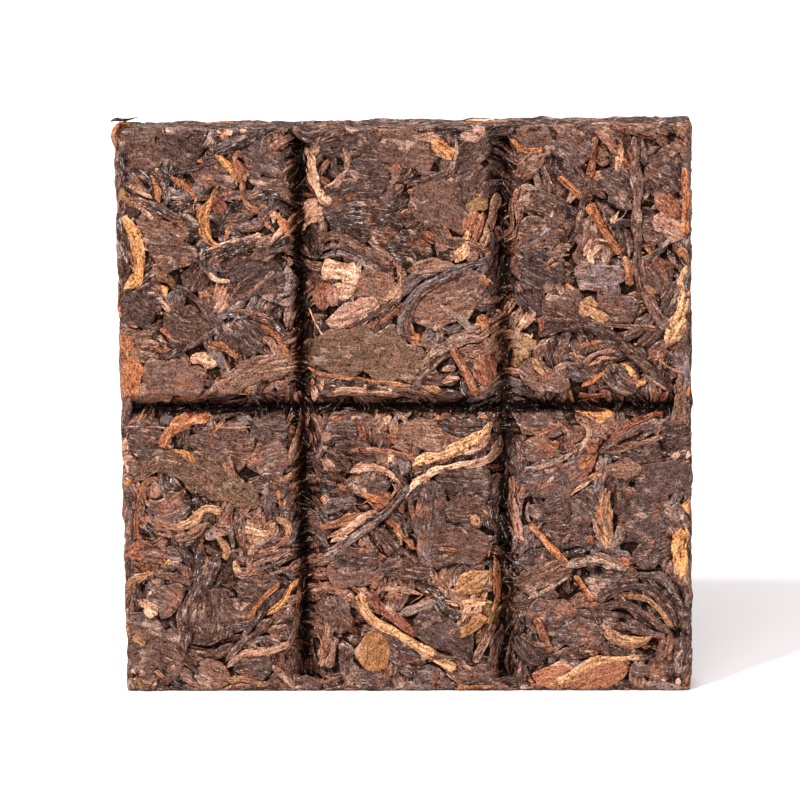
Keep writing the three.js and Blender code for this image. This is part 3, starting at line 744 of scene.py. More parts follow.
     -47, 27.2),
    ("rolled", 2, "black", -46.5, 30.4, -45.4, 29.2, -44.6, 27.8),
    ("rolled", 2.6, "brown", -41.2, 27.6, -37.4, 28.6, -34.8, 30.6),
    ("rolled", 2, "straw", -41.2, 29.2, -37.6, 31.2, -35.4, 32.8, -32.2, 32.6),
    # An ash run painting glints
    ("rolled", 0.6, "ash", -40.2, 26.2, -38.8, 26.6, -37.4, 27.4),
    ("blade", 5, "umber", -45.6, 18.4, -43, 17.4, -40, 15.6),
    ("sheet", 9, "umber", -50.4, 6, -45, 7, -39.4, 5.6),
    ("sheet", 5, "dark", -50.2, 12.6, -47, 12.2, -43.4, 11),
    ("blade", 7, "umber", -34.2, 18.8, -34, 14, -35.2, 9),
    ("blade", 5.4, "umber", -33, 16.5, -30, 14, -26.6, 15),
    ("blade", 5, "umber", -30.4, 19, -26, 18.6, -22, 20),
    ("blade", 4.8, "dark", -31.5, 4.4, -28, 5, -24, 3.8),
    ("blade", 5.4, "brown", -37, 5.4, -34.6, 3.4, -31.4, 1.6),
    ("rolled", 1.2, "rust", -26.4, 25, -23.4, 26, -20.2, 28.6),
    ("rolled", 1.2, "pink", -27.4, 22.8, -23.5, 24, -19.8, 25.6),
    ("rolled", 1.2, "dark", -27.8, 21.4, -24, 22.6, -20, 24.2),
    ("rolled", 1.2, "umber", -29, 20.4, -24.5, 21, -20, 22.6),
    ("rolled", 2, "dark", -36.2, 27, -36.8, 22.6, -37.8, 19.4),
    ("rolled", 3.2, "dark", -33, 25.4, -34.6, 22, -36.6, 19, -38.6, 15.4, -39.4, 11, -39.6, 7.5),
    ("rolled", 1.7, "dark", -30.8, 25, -31.8, 22, -34, 18.8),
    ("flake", 0.9, "rust", -35.4, 24.6, -34.9, 21.8),
    ("bud", 1.5, "tan", -33.6, 30, -32.2, 30, -30.8, 29.6),
    ("bud", 1.7, "straw", -34.9, 29.2, -33, 27.5, -31.8, 25.6, -31.9, 23.4),
    ("bud", 2.2, "cream", -30.2, 29.4, -27, 28.8, -24.2, 28.4, -22.6, 28.6),
    ("bud", 1.7, "straw", -23.6, 31.4, -21.8, 30.9, -20.8, 29.4, -20.9, 27.2),
    ("rolled", 1, "black", -24.7, 31.6, -23, 32.6, -20.2, 32.6),
    ("bud", 1.8, "cream", -30.3, 24, -30, 22.4, -29.6, 21),
    ("bud", 1.1, "pink", -27.1, 26.7, -27.6, 24, -28.1, 20),
    ("bud", 1, "orange", -22.6, 37.6, -22.4, 35, -22.2, 32.8),
    ("bud", 1.2, "tan", -24.2, 38.8, -23.6, 37.8, -23.2, 36.4),
    ("bud", 1.5, "tan", -17.4, 42, -19, 39.6, -21, 38.4, -23, 38),
    ("rolled", 1.8, "brown", -45.4, 21.4, -41, 20.6, -38, 19.4),
    ("bud", 2, "straw", -49.8, 15, -49.7, 18.4, -48, 20.5, -44.6, 21.4),
    ("flake", 1.2, "straw", -43, 22.4, -41.6, 24),
    ("flake", 1.1, "pink", -44.6, 21.9, -42.8, 21.6),
    ("flake", 1.3, "rust", -50.1, 22, -48.6, 21.2),
    ("bud", 2.4, "cream", -47.9, 16.6, -46.3, 15.7, -44, 14),
    ("bud", 0.8, "cream", -45.9, 17.5, -44.4, 18.1, -42.8, 18.2),
    ("flake", 1.2, "rust", -43.4, 14, -41.4, 14.9),
    ("rolled", 0.5, "ash", -37, 11.8, -36.4, 10.8, -35.6, 9.8),
    ("rolled", 1.1, "grey", -33, 11.2, -30, 11.8, -27, 11),
    ("rolled", 1.2, "dark", -32.6, 9, -29.4, 9.8, -26.6, 9.8),
    ("bud", 0.9, "tan", -34.7, 9.3, -33.8, 9.8, -32.6, 10.3),
    ("rolled", 1.7, "dark", -21.3, 18.7, -25, 15.5, -27, 12.5, -29.8, 9.2),
    ("stem", 1.1, "orange", -22.3, 19.7, -25, 17.3, -26.8, 15.2, -28.4, 13.1),
    ("bud", 1.4, "gold", -18.8, 20.6, -21, 18, -22.4, 15.8, -24.9, 13.8),
    ("bud", 0.9, "straw", -18.3, 21.6, -19, 17, -19.6, 12, -21, 8.2),
    ("rolled", 1.3, "brown", -18.8, 15.4, -20, 11, -21.8, 7),
    ("rolled", 1.4, "pink", -25.3, 11, -23, 11.3, -20.8, 12),
    ("rolled", 1.4, "grey", -28.3, 9.2, -25, 9.5, -22.3, 8.4),
    ("rolled", 2, "umber", -23.8, 13.2, -27, 10.6, -30, 8, -32.4, 5.4),
    ("bud", 1.6, "tan", -20.8, 8.8, -24, 7.4, -27.5, 7, -30, 6.3, -32.3, 4.3),
    ("rolled", 1.4, "straw", -32.4, 2.2, -29, 2.1, -25, 1.2),
    ("bud", 2, "pink", -24, 4.8, -22, 2.6, -20, 0.4),
    ("flake", 1.2, "rust", -19.9, 2.9, -18.2, 1.4),
    ("flake", 1.8, "straw", -49, 9.8, -46.4, 8.4),
    ("flake", 1.3, "straw", -45.1, 3.6, -42.9, 2.7),
    ("rolled", 0.7, "black", -49.4, 6.6, -48, 6.9, -46.6, 7.6),
    ("rolled", 0.9, "black", -36.6, 5, -37.4, 3.2, -38.2, 1.2),
    ("rolled", 1, "pink", -37.8, 7, -36.6, 7.1, -35.2, 6.9),
    # Pale fibres along the shoulder under the level groove: painted highlight of its lip, raised as
    # a thin ridge
    ("fibre", 0.45, "pink", -49.6, 47.6, -46, 47.8, -42, 47.5),
    ("fibre", 0.4, "pink", -40.4, 47.5, -38.6, 47.5, -37, 47.3),
    ("fibre", 0.45, "pink", -33.4, 47.6, -30, 47.5, -27, 47.6),
    # Lower middle tablet
    ("blade", 5, "umber", -14, 48.4, -10, 48.5, -5, 48.6),
    ("blade", 6.4, "brown", -3, 46.6, 3, 46.3, 10.4, 45),
    ("blade", 5, "dark", -14, 46, -10, 46, -5, 45.4),
    ("blade", 4.6, "black", 5.5, 48.2, 10, 47.8, 14.8, 48),
    ("blade", 6, "umber", -14.6, 42, -11, 42, -5, 41.6),
    ("blade", 5.6, "dark", 5, 38.4, 10, 37.6, 15.2, 37),
    ("blade", 6, "umber", 6.6, 33, 10, 32.6, 14.6, 33),
    ("sheet", 7.4, "umber", 3.6, 26.4, 9, 26.6, 14.4, 25),
    ("sheet", 6, "umber", -14.4, 22, -9, 21.4, -3.4, 22),
    ("blade", 5, "dark", -13, 24.6, -9, 23.6, -5, 24),
    ("blade", 5, "umber", -4.6, 22.4, 0, 22, 5, 21),
    ("blade", 5.6, "umber", -14.4, 17.4, -12.6, 14, -10.8, 10.6),
    ("blade", 5, "dark", -4.6, 9, -1, 7, 4, 5.4),
    ("sheet", 7, "dark", 1, 12.8, 6, 10.4, 11.4, 7),
    ("sheet", 5.2, "amber", -5.8, 11.2, -6.1, 7, -6.5, 3.2),
    ("blade", 3, "umber", -11.6, 9.4, -11, 5, -10.6, 0.8),
    ("blade", 3.6, "dark", -10.6, 2, -6, 2, -1.4, 2),
    ("blade", 3.8, "grey", -1.6, 3.6, 3, 3.4, 7, 2.8),
    ("sheet", 3.8, "umber", 8.4, 3, 12, 2.8, 16.4, 2.6),
    ("rolled", 0.8, "straw", 3, 48.5, 6, 46.6, 9.8, 45.2),
    ("bud", 1.4, "straw", -2, 49.2, -2.2, 47, -1.7, 45),
    ("bud", 0.9, "straw", -7.2, 49.7, -6.6, 47.8, -6.2, 45.8),
    ("rolled", 1.5, "red", -8.1, 48.8, -7.6, 46.8, -7.2, 44.8),
    ("flake", 1.3, "rust", -13, 48.6, -10.4, 49.2),
    ("flake", 1.3, "pink", -14.7, 45.4, -12.9, 46.4),
    ("flake", 1, "pink", -10.1, 45.7, -8.3, 46.1),
    ("bud", 1.3, "orange", 3.6, 50.3, 5.5, 49.3, 7.6, 48.2),
    ("bud", 1.7, "orange", 12.3, 50, 13.4, 49.4, 14.6, 48.8),
    ("rolled", 1.5, "red", -9.8, 43.6, -6, 43.4, -2, 42.7, 2.3, 41.6),
    ("rolled", 1.4, "umber", -15, 44.2, -12, 42.6, -9.4, 40.3),
    ("bud", 2.4, "pink", -14.8, 41.7, -13.4, 40.6, -12.2, 39.4),
    ("rolled", 2.6, "black", -15.2, 38, -13.8, 37.6, -12.2, 37),
    ("sheet", 4, "dark", -9.6, 37.6, -6, 37.2, -2.6, 37.4),
    ("bud", 1.4, "rust", -12.2, 37.4, -11.4, 36.8, -10.6, 36),
    ("bud", 1.6, "orange", -15.4, 35, -14.6, 34.4, -13.6, 33.6),
    ("rolled", 2.8, "grey", -14.8, 32.4, -11.5, 33.9, -8.6, 34),
    ("bud", 1.9, "orange", -8.9, 36.8, -7, 35.3, -3.9, 34),
    ("bud", 1.5, "tan", -10, 39.4, -7.5, 40.4, -4.5, 40, -2.3, 39, -2, 37.6),
    ("bud", 1, "cream", -8.3, 41, -7.3, 41.5, -6.1, 41.4),
    ("sheet", 6, "dark", 4.8, 38, 4.1, 33, 3, 27),
    ("rolled", 1.3, "brown", 0.7, 35.4, 0.9, 33, 1.6, 30.6),
    ("rolled", 0.9, "dark", 5, 39.3, 10, 39, 15.2, 38.4),
    ("bud", 2.4, "straw", 11.3, 31.6, 12.4, 30.8, 13.2, 30),
    ("bud", 1.3, "straw", 12.8, 33.2, 13.7, 32.5, 14.7, 31.2),
    ("stem", 1.2, "rust", 5.3, 25.7, 7.2, 25.6, 9.2, 25.4),
    ("rolled", 0.5, "black", 6.3, 26.4, 7.6, 26.5, 9, 26.3),
    ("rolled", 0.5, "black", 5, 24.6, 6.6, 24.5, 8.2, 24.2),
    ("bud", 1.5, "rust", -4.1, 30.9, -2, 30, -1, 28.4, 0.5, 26.5, 1.7, 25.6),
    ("bud", 1.1, "gold", -2.6, 29.4, -1.7, 28.5, -0.7, 27.3),
    ("stem", 1.8, "umber", -4.8, 29.5, -3, 27.4, -1, 25.5, 2.2, 23.2),
    ("rolled", 1, "rust", -9.2, 25, -7.6, 25.4, -5.8, 25.5),
    ("flake", 1.1, "rust", -8.3, 26, -7.4, 27.4),
    ("flake", 1, "tan", -5.1, 26.4, -4.1, 25),
    ("rolled", 1, "grey", -14.8, 28.7, -14.3, 26.4, -12.4, 25.4),
    ("bud", 1.9, "cream", -13.5, 26.8, -12, 27.6, -10.1, 27.6),
    ("bud", 1.5, "rust", -6.3, 32.3, -9, 31.4, -13, 30, -16.5, 29.2),
    ("bud", 1.6, "tan", -4.8, 32.8, -8, 31, -11, 29, -14.3, 27.8),
    ("stem", 1.8, "grey", 0.8, 37.2, -1.5, 34.4, -4, 31.7, -7, 29.3, -10.5, 27, -14.4, 24.4),
    ("stem", 0.9, "umber", -0.4, 36.6, -3, 33.2, -6, 30.9),
    ("bud", 0.9, "tan", -2.4, 37.4, -1.8, 36.2, -2.8, 34.8),
    ("bud", 1.1, "rust", 10, 42.7, 6, 41.3, 3.2, 40.1),
    ("bud", 2.4, "honey", 15.6, 49, 14, 46.6, 11.5, 44.6, 7.5, 42.9, 4, 41.9, 0.8, 40.1),
    ("bud", 1.1, "tan", 15, 46.2, 13, 43.7, 10.2, 42.5),
    ("bud", 1.9, "tan", 16.9, 46, 15.8, 43, 13.5, 41.5, 9.5, 40.6),
    ("bud", 1.7, "cream", 12.5, 41.4, 9, 40.6, 6, 40, 3, 38.5, 1, 36.6, -0.2, 35),
    ("bud", 1.1, "tan", 4.1, 22, 4.4, 21, 4.9, 19.8),
    ("rolled", 3, "black", 1.2, 19.2, 4.4, 18, 6.4, 15.6, 9.8, 12.8),
    ("blade", 3.8, "amber", 8, 17.6, 11, 19.3, 15.2, 21.5),
    ("blade", 3, "amber", 9, 9.6, 11.8, 12, 13.8, 14.4),
    ("bud", 1.2, "cream", 5.4, 18.9, 6.2, 18.2, 7.2, 17.3),
    ("bud", 2, "gold", 12.6, 14.2, 14.2, 12.8, 15.4, 14.2),
    ("bud", 1, "honey", 7.3, 15.1, 10, 14.2, 12.5, 14.4),
    ("bud", 1.2, "honey", 5.5, 16.7, 9, 15.9, 13, 15.8, 15.3, 15.7),
    ("bud", 1.3, "orange", 15.3, 24.4, 15.9, 20, 15.9, 16.5, 15, 12.6),
    ("bud", 0.9, "straw", 14.6, 22.6, 14.7, 20.8, 14.9, 18.6),
    ("bud", 1.4, "orange", 14.7, 26.5, 14.4, 25.4, 14.4, 24),
    ("stem", 2.2, "pink", 15.1, 12.3, 13.5, 8.8, 11.7, 5),
    ("bud", 3.2, "ash", -2.2, 13.8, 1, 14.5, 4.8, 16.2),
    ("bud", 1, "tan", -5.2, 18.4, -1, 18.4, 3, 17.3),
    ("rolled", 1.4, "rust", -4.2, 17, -2.4, 17.2, -0.4, 17),
    ("rolled", 1.6, "red", -6.3, 18.8, -5.8, 16, -4.9, 13.8),
    ("bud", 1.7, "tan", -8.8, 18.7, -7.8, 18.2, -6.8, 17.4),
    ("flake", 1.1, "tan", -11.3, 16.6, -9.3, 17.3),
    ("stem", 2.3, "honey", -8.4, 17.8, -7.5, 14.5, -5.5, 12.3, -2, 10.3, 1, 8.5, 4, 6.7,
     8.6, 3.8),
    ("stem", 2.2, "pink", -13.2, 10, -13.4, 7, -14.2, 4),
    ("rolled", 0.9, "black", -13.4, 3.4, -13.8, 2.2, -14.2, 0.8),
    ("rolled", 1.7, "dark", 0.2, 4.6, 1.5, 2.6, 2.1, 0.2),
    ("rolled", 1.2, "red", 5.1, 4.6, 4.8, 2.8, 4.5, 0.8),
    ("bud", 0.9, "tan", 6.5, 3.2, 7.8, 2.3, 9.2, 1.4),
    ("rolled", 0.8, "black", 9.6, 1.5, 13, 1.5, 17, 1.6),
    ("stem", 1.2, "orange", 8.2, 0.4, 12, 0.7, 17.2, 0.8),
    ("bud", 1.2, "cream", -16.6, 47.6, -16.2, 45.6, -15.9, 43.8),
    # Lower right tablet
    ("sheet", 5.4, "dark", 19.8, 48, 24, 48, 29, 47.4),
    ("blade", 5.4, "umber", 20.6, 44.6, 24.5, 43.6, 28.4, 43),
    ("blade", 5, "grey", 19.8, 38.4, 23, 38.6, 27, 39.6),
    ("sheet", 6.6, "dark", 21.4, 36, 26, 37.6, 32, 40),
    ("blade", 5, "dark", 37.6, 43.8, 41, 42.6, 45, 43),
    ("blade", 5.4, "dark", 44.8, 46, 47.5, 46.4, 50.4, 47),
    ("blade", 4.6, "dark", 20.8, 33, 24, 32.4, 29, 33.4),
    ("blade", 5, "dark", 28.6, 34.6, 31.5, 33, 33.6, 30.6),
    ("blade", 5.4, "dark", 23.6, 29, 28, 28.6, 33.4, 29.4),
    ("blade", 4.4, "dark", 19.8, 24, 24, 23.4, 28, 25),
    ("sheet", 10, "dark", 37, 32, 41.5, 31.5, 47, 32.6),
    ("sheet", 7, "dark", 40, 38, 45, 38, 50.4, 39.4),
    ("blade", 4.4, "brown", 34.4, 39.4, 38, 39.6, 41.6, 40),
    ("blade", 4.6, "dark", 39.4, 24.4, 43, 25, 47, 27),
    ("blade", 4.4, "dark", 45.6, 32.6, 47.6, 30.6, 49.6, 27.6),
    ("blade", 5.6, "dark", 30.6, 20.4, 35.5, 19.8, 41, 20.6),
    ("sheet", 6.4, "dark", 20.6, 13.6, 27, 13, 33, 12),
    ("blade", 5.4, "dark", 26, 10, 31, 10, 35, 9),
    ("blade", 5, "dark", 19.4, 10.4, 21.5, 7, 24, 5),
    ("blade", 3.4, "umber", 24.6, 6.2, 28, 6.6, 34, 7),
    ("blade", 3.4, "dark", 34.4, 8.2, 38, 7, 42, 5.8),
    ("blade", 4.8, "dark", 38.6, 4, 42, 3.6, 47, 4),
    ("blade", 3.4, "dark", 48.8, 20, 49.6, 17.6, 50.4, 15),
    ("rolled", 2.8, "dark", 46.3, 19.6, 48.4, 14, 50, 9.6),
    ("rolled", 3.4, "dark", 49.6, 13.6, 48.6, 8, 47.8, 4, 47, 0.3),
    ("bud", 2.2, "gold", 29, 50, 33, 49.7, 36.6, 49.4),
    ("rolled", 1.3, "ash", 19.4, 48.2, 21.5, 47, 24.2, 45.6),
    ("rolled", 1, "rust", 21.8, 47.6, 24, 46.3, 25.8, 47.2),
    ("rolled", 1.7, "brown", 26.4, 48.6, 28.6, 46.6, 28.3, 43.8),
    ("bud", 1.3, "orange", 28.2, 45.2, 29, 44.4, 29.9, 43.8),
    ("bud", 2.4, "rust", 31.8, 45.4, 32.4, 44, 32.8, 42.4),
    ("bud", 1.6, "tan", 30.4, 48, 31.9, 47.4, 31.9, 45, 30.4, 43),
    ("flake", 1.7, "red", 24.6, 44, 26, 42.6),
    ("rolled", 1, "ash", 31, 44.6, 28, 42, 24, 40.5, 20.6, 40),
    ("rolled", 0.9, "ash", 27.8, 41, 26, 40, 24.2, 39.2),
    ("rolled", 0.8, "ash", 26.6, 39.6, 25.4, 38, 24.2, 37),
    ("rolled", 2.2, "black", 34.2, 42.2, 36, 42, 38.4, 41.8),
    ("rolled", 1.8, "brown", 34.4, 43, 38, 43.6, 42, 44.6, 44.8, 45.6),
    ("rolled", 2.2, "umber", 33.8, 42.6, 36.5, 45, 40, 47, 45.2, 48.8),
    ("rolled", 1.1, "red", 35.8, 45.2, 40, 48.2, 45, 49.8),
    ("bud", 1.3, "rust", 44.7, 47.8, 44.2, 46.8, 43.4, 45.8),
    ("bud", 1.7, "cream", 46.6, 41.6, 47.4, 42.6, 48.4, 43.2),
    # A black run painting the shade of a crack, and an ash run painting a glint beside it
    ("rolled", 0.7, "black", 36.2, 37.4, 38, 37.4, 39.6, 38),
    ("rolled", 0.5, "ash", 39.4, 37.5, 40.4, 38, 41.6, 38.8),
    ("bud", 2.6, "rust", 30.2, 39.8, 31.6, 41, 33.4, 42.2),
    ("bud", 1.5, "straw", 31.8, 38, 33, 38.6, 34.8, 39.1),
    ("bud", 1.3, "cream", 28.1, 34.6, 30, 36.2, 32.7, 37.9),
    ("rolled", 0.9, "umber", 21.5, 34, 21.2, 31.5, 22, 29.8),
    ("bud", 1.8, "pink", 18.8, 39, 18.3, 35, 19, 31, 19.9, 27.8, 21.4, 26.8),
    ("bud", 1.1, "rust", 24.6, 29.2, 25.2, 28, 26.2, 26.8),
    ("rolled", 1.2, "brown", 26.8, 26.4, 28, 27.4, 29.2, 28.5),
    ("rolled", 2.4, "umber", 37.3, 36, 37.6, 34, 37.2, 31.4),
    ("bud", 2, "ash", 38.1, 29.7, 37, 27.5, 35.4, 25),
    ("bud", 2.9, "straw", 35.8, 36.6, 34.6, 34.5, 34.2, 31.5, 34.8, 28, 35.1, 24.6),
    ("bud", 1.4, "orange", 34.2, 33.6, 34, 32.4, 34.3, 30.8),
    ("rolled", 0.9, "pink", 32.9, 31.6, 33.2, 29.4, 33.9, 26.6),
    ("bud", 1.7, "rust", 31.3, 27.7, 32.2, 27.2, 33.3, 26.3),
    ("rolled", 0.8, "black", 29.8, 26.4, 31.4, 26.2, 33.2, 25.7),
    ("stem", 1.5, "orange", 21.6, 30.2, 24, 27.5, 26.5, 24.5, 28.4, 22.4),
    ("stem", 1.5, "orange", 29.3, 21, 31.4, 18.2, 32.8, 16),
    ("blade", 4.6, "brown", 19.5, 18.4, 24, 20.8, 29.6, 22.6),
    ("rolled", 2.3, "ash", 27.2, 22.4, 31.5, 23.4, 35.5, 23.1, 38.8, 21.8),
    ("rolled", 0.9, "ash", 20.8, 16.4, 25, 18.5, 29.4, 21.2),
    ("rolled", 1.1, "brown", 32.8, 24.6, 34.8, 24.2, 36.7, 23.2),
    ("bud", 1.7, "orange", 37, 24.4, 38, 23.6, 39.3, 22.6),
    ("flake", 1.3, "rust", 22.8, 24.2, 25.2, 23.3),
    ("bud", 1, "straw", 40.8, 23.8, 42.2, 25, 43.8, 25.7),
    ("rolled", 0.7, "black", 39.2, 22.3, 42, 22, 45.4, 22),
    ("rolled", 1.9, "grey", 39.8, 21, 44, 20.6, 46.5, 18.4, 48.8, 14.6),
    ("rolled", 1.9, "umber", 33.2, 16, 36, 18, 39.5, 18.9, 42.5, 18.5, 45, 16.5, 47, 13.4,
     47.6, 11),
    ("rolled", 1.6, "straw", 37.8, 17.7, 41.5, 16.8, 44.6, 14.5, 47, 11.2),
    ("rolled", 1.8, "umber", 31, 15.1, 35, 15.5, 38.5, 15.6, 41.5, 14.2, 44.5, 12, 46.8, 10.5),
    ("rolled", 1.6, "dark", 32.8, 14.2, 37, 13.3, 40, 11.8, 42.8, 10.8),
    ("rolled", 2, "straw", 34.8, 11, 37.5, 9, 41, 8.9, 43.2, 9.8),
    ("rolled", 1.6, "umber", 34.2, 12.9, 38, 11.8, 41, 10.7, 45.8, 9.9),
    ("rolled", 1.7, "umber", 45.2, 9.4, 44, 6.6, 42.2, 4.8),
    ("rolled", 1.7, "brown", 46.5, 10.6, 46, 7.5, 43.8, 5),
    ("flake", 1, "rust", 31.2, 15.1, 33.8, 15.7),
    ("rolled", 0.6, "ash", 25, 14.7, 27.4, 13.2, 29.2, 10.4),
    ("rolled", 0.6, "straw", 20.8, 14.5, 23, 14, 25.4, 14.9),
    ("stem", 1.7, "rust", 22.5, 13.4, 23.8, 10.5, 25.2, 6.6),
    ("rolled", 1.4, "brown", 19.8, 10.2, 22, 8.8, 24.7, 7.9),
    ("bud", 1.7, "straw", 30.8, 7.1, 32.2, 7, 33.8, 6.3),
    ("sheet", 4.6, "rust", 20.8, 1.8, 26, 2.8, 31.6, 2.8),
    ("sheet", 4.8, "rust", 28.6, 1.2, 33, 2.6, 39, 4.4),
    ("rolled", 1.3, "umber", 38.8, 5.6, 41.6, 5.9, 44.6, 7.2),
    ("rolled", 1.2, "umber", 38, 0.6, 42, 0.5, 47.2, 0.3),
    ("bud", 1.8, "honey", 24.4, 0.8, 28, 2, 31, 4, 34, 5.4, 38, 5.8, 41.5, 6.6),
    ("flake", 0.6, "cream", 41, 1.6, 41.9, 1.3),
    ("flake", 0.6, "cream", 43.2, 1.5, 44.1, 1.2),
    ("flake", 0.6, "cream", 44.7, 2.2, 45.5, 1.8),
    ("bud", 2.6, "gold", 48.4, 30, 48, 26, 48.3, 22.6, 47.6, 19.6),
    ("bud", 2.2, "gold", 50.5, 35.2, 49.7, 33, 50.3, 30.8),
)

# The leaf on the left side that reaches the upper corner
CORNER_LEAF = ("stem", 2.4, "orange", ((3.4, 95.4), (3.6, 97.6), (3.6, 99.6), (3.4, 101.4)))

# Stems that stand free over the upper left corner: tint, then places and half widths along them
STANDING_STEMS = (
    ("orange", (-49.7, -5.6, 97.4, 0.3), (-50, -5.5, 98.6, 0.55), (-49.9, -5, 100, 0.55),
     (-49.4, -4.2, 101, 0.5), (-48.4, -3.6, 101.4, 0.4), (-47, -3.8, 101.1, 0.2)),
    ("black", (-50.7, -3.6, 101.7, 0.1), (-49.9, -3.4, 102.1, 0.3), (-48.8, -3.3, 102, 0.28),
     (-47.4, -3.2, 102, 0.18), (-46, -3.1, 102.2, 0.05)),
)

# Holes between the front's leaves, sunk and painted dark with shade: place and radius
HOLES = (
    (48, 94, 0.9), (46.5, 98, 0.8), (48, 88, 0.6), (47.6, 10.5, 1.0), (47.3, 1.8, 1.0),
    (43, 6.9, 1.0), (34, 22, 0.8), (31.5, 21, 0.7), (-33, 57.2, 1.0), (43.5, 8.6, 0.8),
    (38, 12.6, 0.6), (-44.3, 90.8, 0.7), (-49.7, 70.8, 0.6), (-49.4, 99, 0.5),
    (-8.5, 11.8, 0.6), (42, 15.4, 0.6), (-4.4, 30.2, 0.6), (29.2, 19.2, 0.7),
)

# How often scattered leaves have each tint
MOSTLY_DARK = dict(black=3, dark=8, grey=5, umber=9, brown=8, red=1.2, tan=0.7, pink=1)
BROWNS = dict(dark=5, umber=6, brown=7, red=1, grey=3, olive=1, tan=0.7, pink=1)
STEM_TINTS = dict(umber=4, red=4, brown=4, grey=2, orange=2, dark=3, tan=1)
BUD_TINTS = dict(gold=3, honey=3, tan=4, cream=2, orange=4, pink=2, straw=2, rust=3)
# The top's leaves are mostly black and dark, darker than the front's: partly their tone, partly
# painted shade of the top face
TOP_TINTS = dict(black=9, dark=8, grey=2, umber=4, brown=1, red=1)
PALE_TINTS = dict(cream=4, tan=4, gold=2, orange=2, pink=1, brown=2)
CRUMB_TINTS = (*PALE_TINTS, "dark", "umber", "umber", "brown", "brown", "red")

# Scattered leaves in the order they are laid: kind, number, ranges of length and width, tints, and
# how many runs of a folded one may lie side by side
FRONT_UNDER = (
    ("blade", 170, (9, 20), (3.5, 7), BROWNS),
    ("rolled", 110, (8, 22), (1.6, 3.2), MOSTLY_DARK, 3),
    ("blade", 100, (7, 16), (3, 6), MOSTLY_DARK),
    ("rolled", 60, (6, 18), (1.1, 2.2), MOSTLY_DARK, 3),
)
FRONT_OVER = (
    ("rolled", 16, (3, 7), (0.8, 1.5), MOSTLY_DARK),
    ("flake", 36, (1.0, 2.2), (0.5, 1.2), PALE_TINTS),
    ("fibre", 24, (2, 5), (0.18, 0.28), PALE_TINTS),
)
BACK_LEAVES = (
    ("blade", 150, (10, 22), (4, 8), MOSTLY_DARK),
    ("rolled", 120, (8, 22), (1.6, 3.2), MOSTLY_DARK, 3),
    ("blade", 110, (7, 20), (3.5, 7), BROWNS),
    ("rolled", 80, (6, 20), (1.2, 2.6), MOSTLY_DARK, 3),
    ("sheet", 12, (6, 12), (5, 8), MOSTLY_DARK),
    ("blade", 70, (5, 12), (3, 6), MOSTLY_DARK),
    ("rolled", 90, (5, 14), (0.9, 2.2), MOSTLY_DARK, 2),
    ("stem", 34, (8, 24), (0.9, 1.7), STEM_TINTS),
    ("bud", 60, (3, 12), (0.9, 2.2), BUD_TINTS),
    ("flake", 50, (1.2, 2.8), (0.8, 1.6), PALE_TINTS),
    ("fibre", 50, (2, 6), (0.18, 0.3), PALE_TINTS),
)

# On the narrow sides: kind, number, lengths, widths, tints where they aren't the side's own, and
# over what angle they lie, about the side's length
EDGE_LEAVES = (
    ("blade", 40, (7, 16), (3, 6), None, 0.9),
    ("rolled", 80, (6, 14), (1.4, 2.8), None, 0.9),
    ("blade", 8, (7, 12), (2.5, 4.5), None, 0.9),
    ("stem", 12, (5, 14), (0.9, 1.5), STEM_TINTS, 0.9),
    ("rolled", 40, (4, 9), (1.0, 2.0), None, 1.8),
    ("bud", 12, (3, 7), (0.8, 1.5), BUD_TINTS, 0.9),
    ("flake", 14, (1.2, 2.4), (0.8, 1.5), PALE_TINTS, np.pi),
)

# How a leaf's colour darkens and warms as its light factor falls, from none to twice its usual;
# that factor holds painted light and shade as well as the leaf's own tone
DARKENING = (
    (0.0, (0.010, 0.003, 0.001)),
    (0.1, (0.085, 0.031, 0.015)),
    (0.2, (0.25, 0.165, 0.13)),
    (0.35, (0.57, 0.53, 0.50)),
    (0.5, (0.95, 0.97, 1.0)),
    (1.0, (1.95, 2.0, 2.1)),
)


def brick_sheets():
    """The six sides, each with its directions, its extent and how far out its leaves lie."""
    inset = SKIN_UNDER_BOX
    half_x, half_y = (HIGH - LOW)[:2] / 2 - inset
    top = HIGH[2] - inset
    across_x, across_y = (-half_x, half_x), (-half_y, half_y)
    middle = MIDDLE[:2]
    x, y, z = np.eye(3)
    wide = [(across_x[0], 0), (across_x[1], top)]
    narrow = [(across_y[0], 0), (across_y[1], top)]
    level = [(across_x[0], across_y[0]), (across_x[1], across_y[1])]
    return {
        "front": Sheet("front", x, z, -y, *wide, half_y, grooves, 1.15),
        "back": Sheet("back", -x, z, y, *wide, half_y),
        "right": Sheet("right", y, z, x, *narrow, half_x),
        "left": Sheet("left", -y, z, -x, *narrow, half_x),
        "top": Sheet("top", x, y, z, *level, top),
        "under": Sheet("under", x, -y, -z, *level, 0),
    }


def lay_front(sheet, rng):
    """The front: scattered leaves, over them the ones that stand out, and loose bits on top."""
    for row in FRONT_UNDER:
        scatter_leaves(sheet, rng, *row)
    for kind, width, tint, *places in MARKED:
        lay_leaf(sheet, rng, kind, width, tint, np.reshape(places, (-1, 2)), 0.5)
    for row in FRONT_OVER:
        scatter_leaves(sheet, rng, *row)


def lay_edge(sheet, rng, turn):
    """A narrow side: scattered leaves that lie mostly along it."""
    own = TOP_TINTS if sheet.name == "top" else MOSTLY_DARK
    for kind, count, lengths, widths, tints, tilt in EDGE_LEAVES:
        scatter_leaves(sheet, rng, kind, count, lengths, widths, tints or own, 1, turn, tilt)
    if sheet.name == "left":
        lay_leaf(sheet, rng, *CORNER_LEAF)


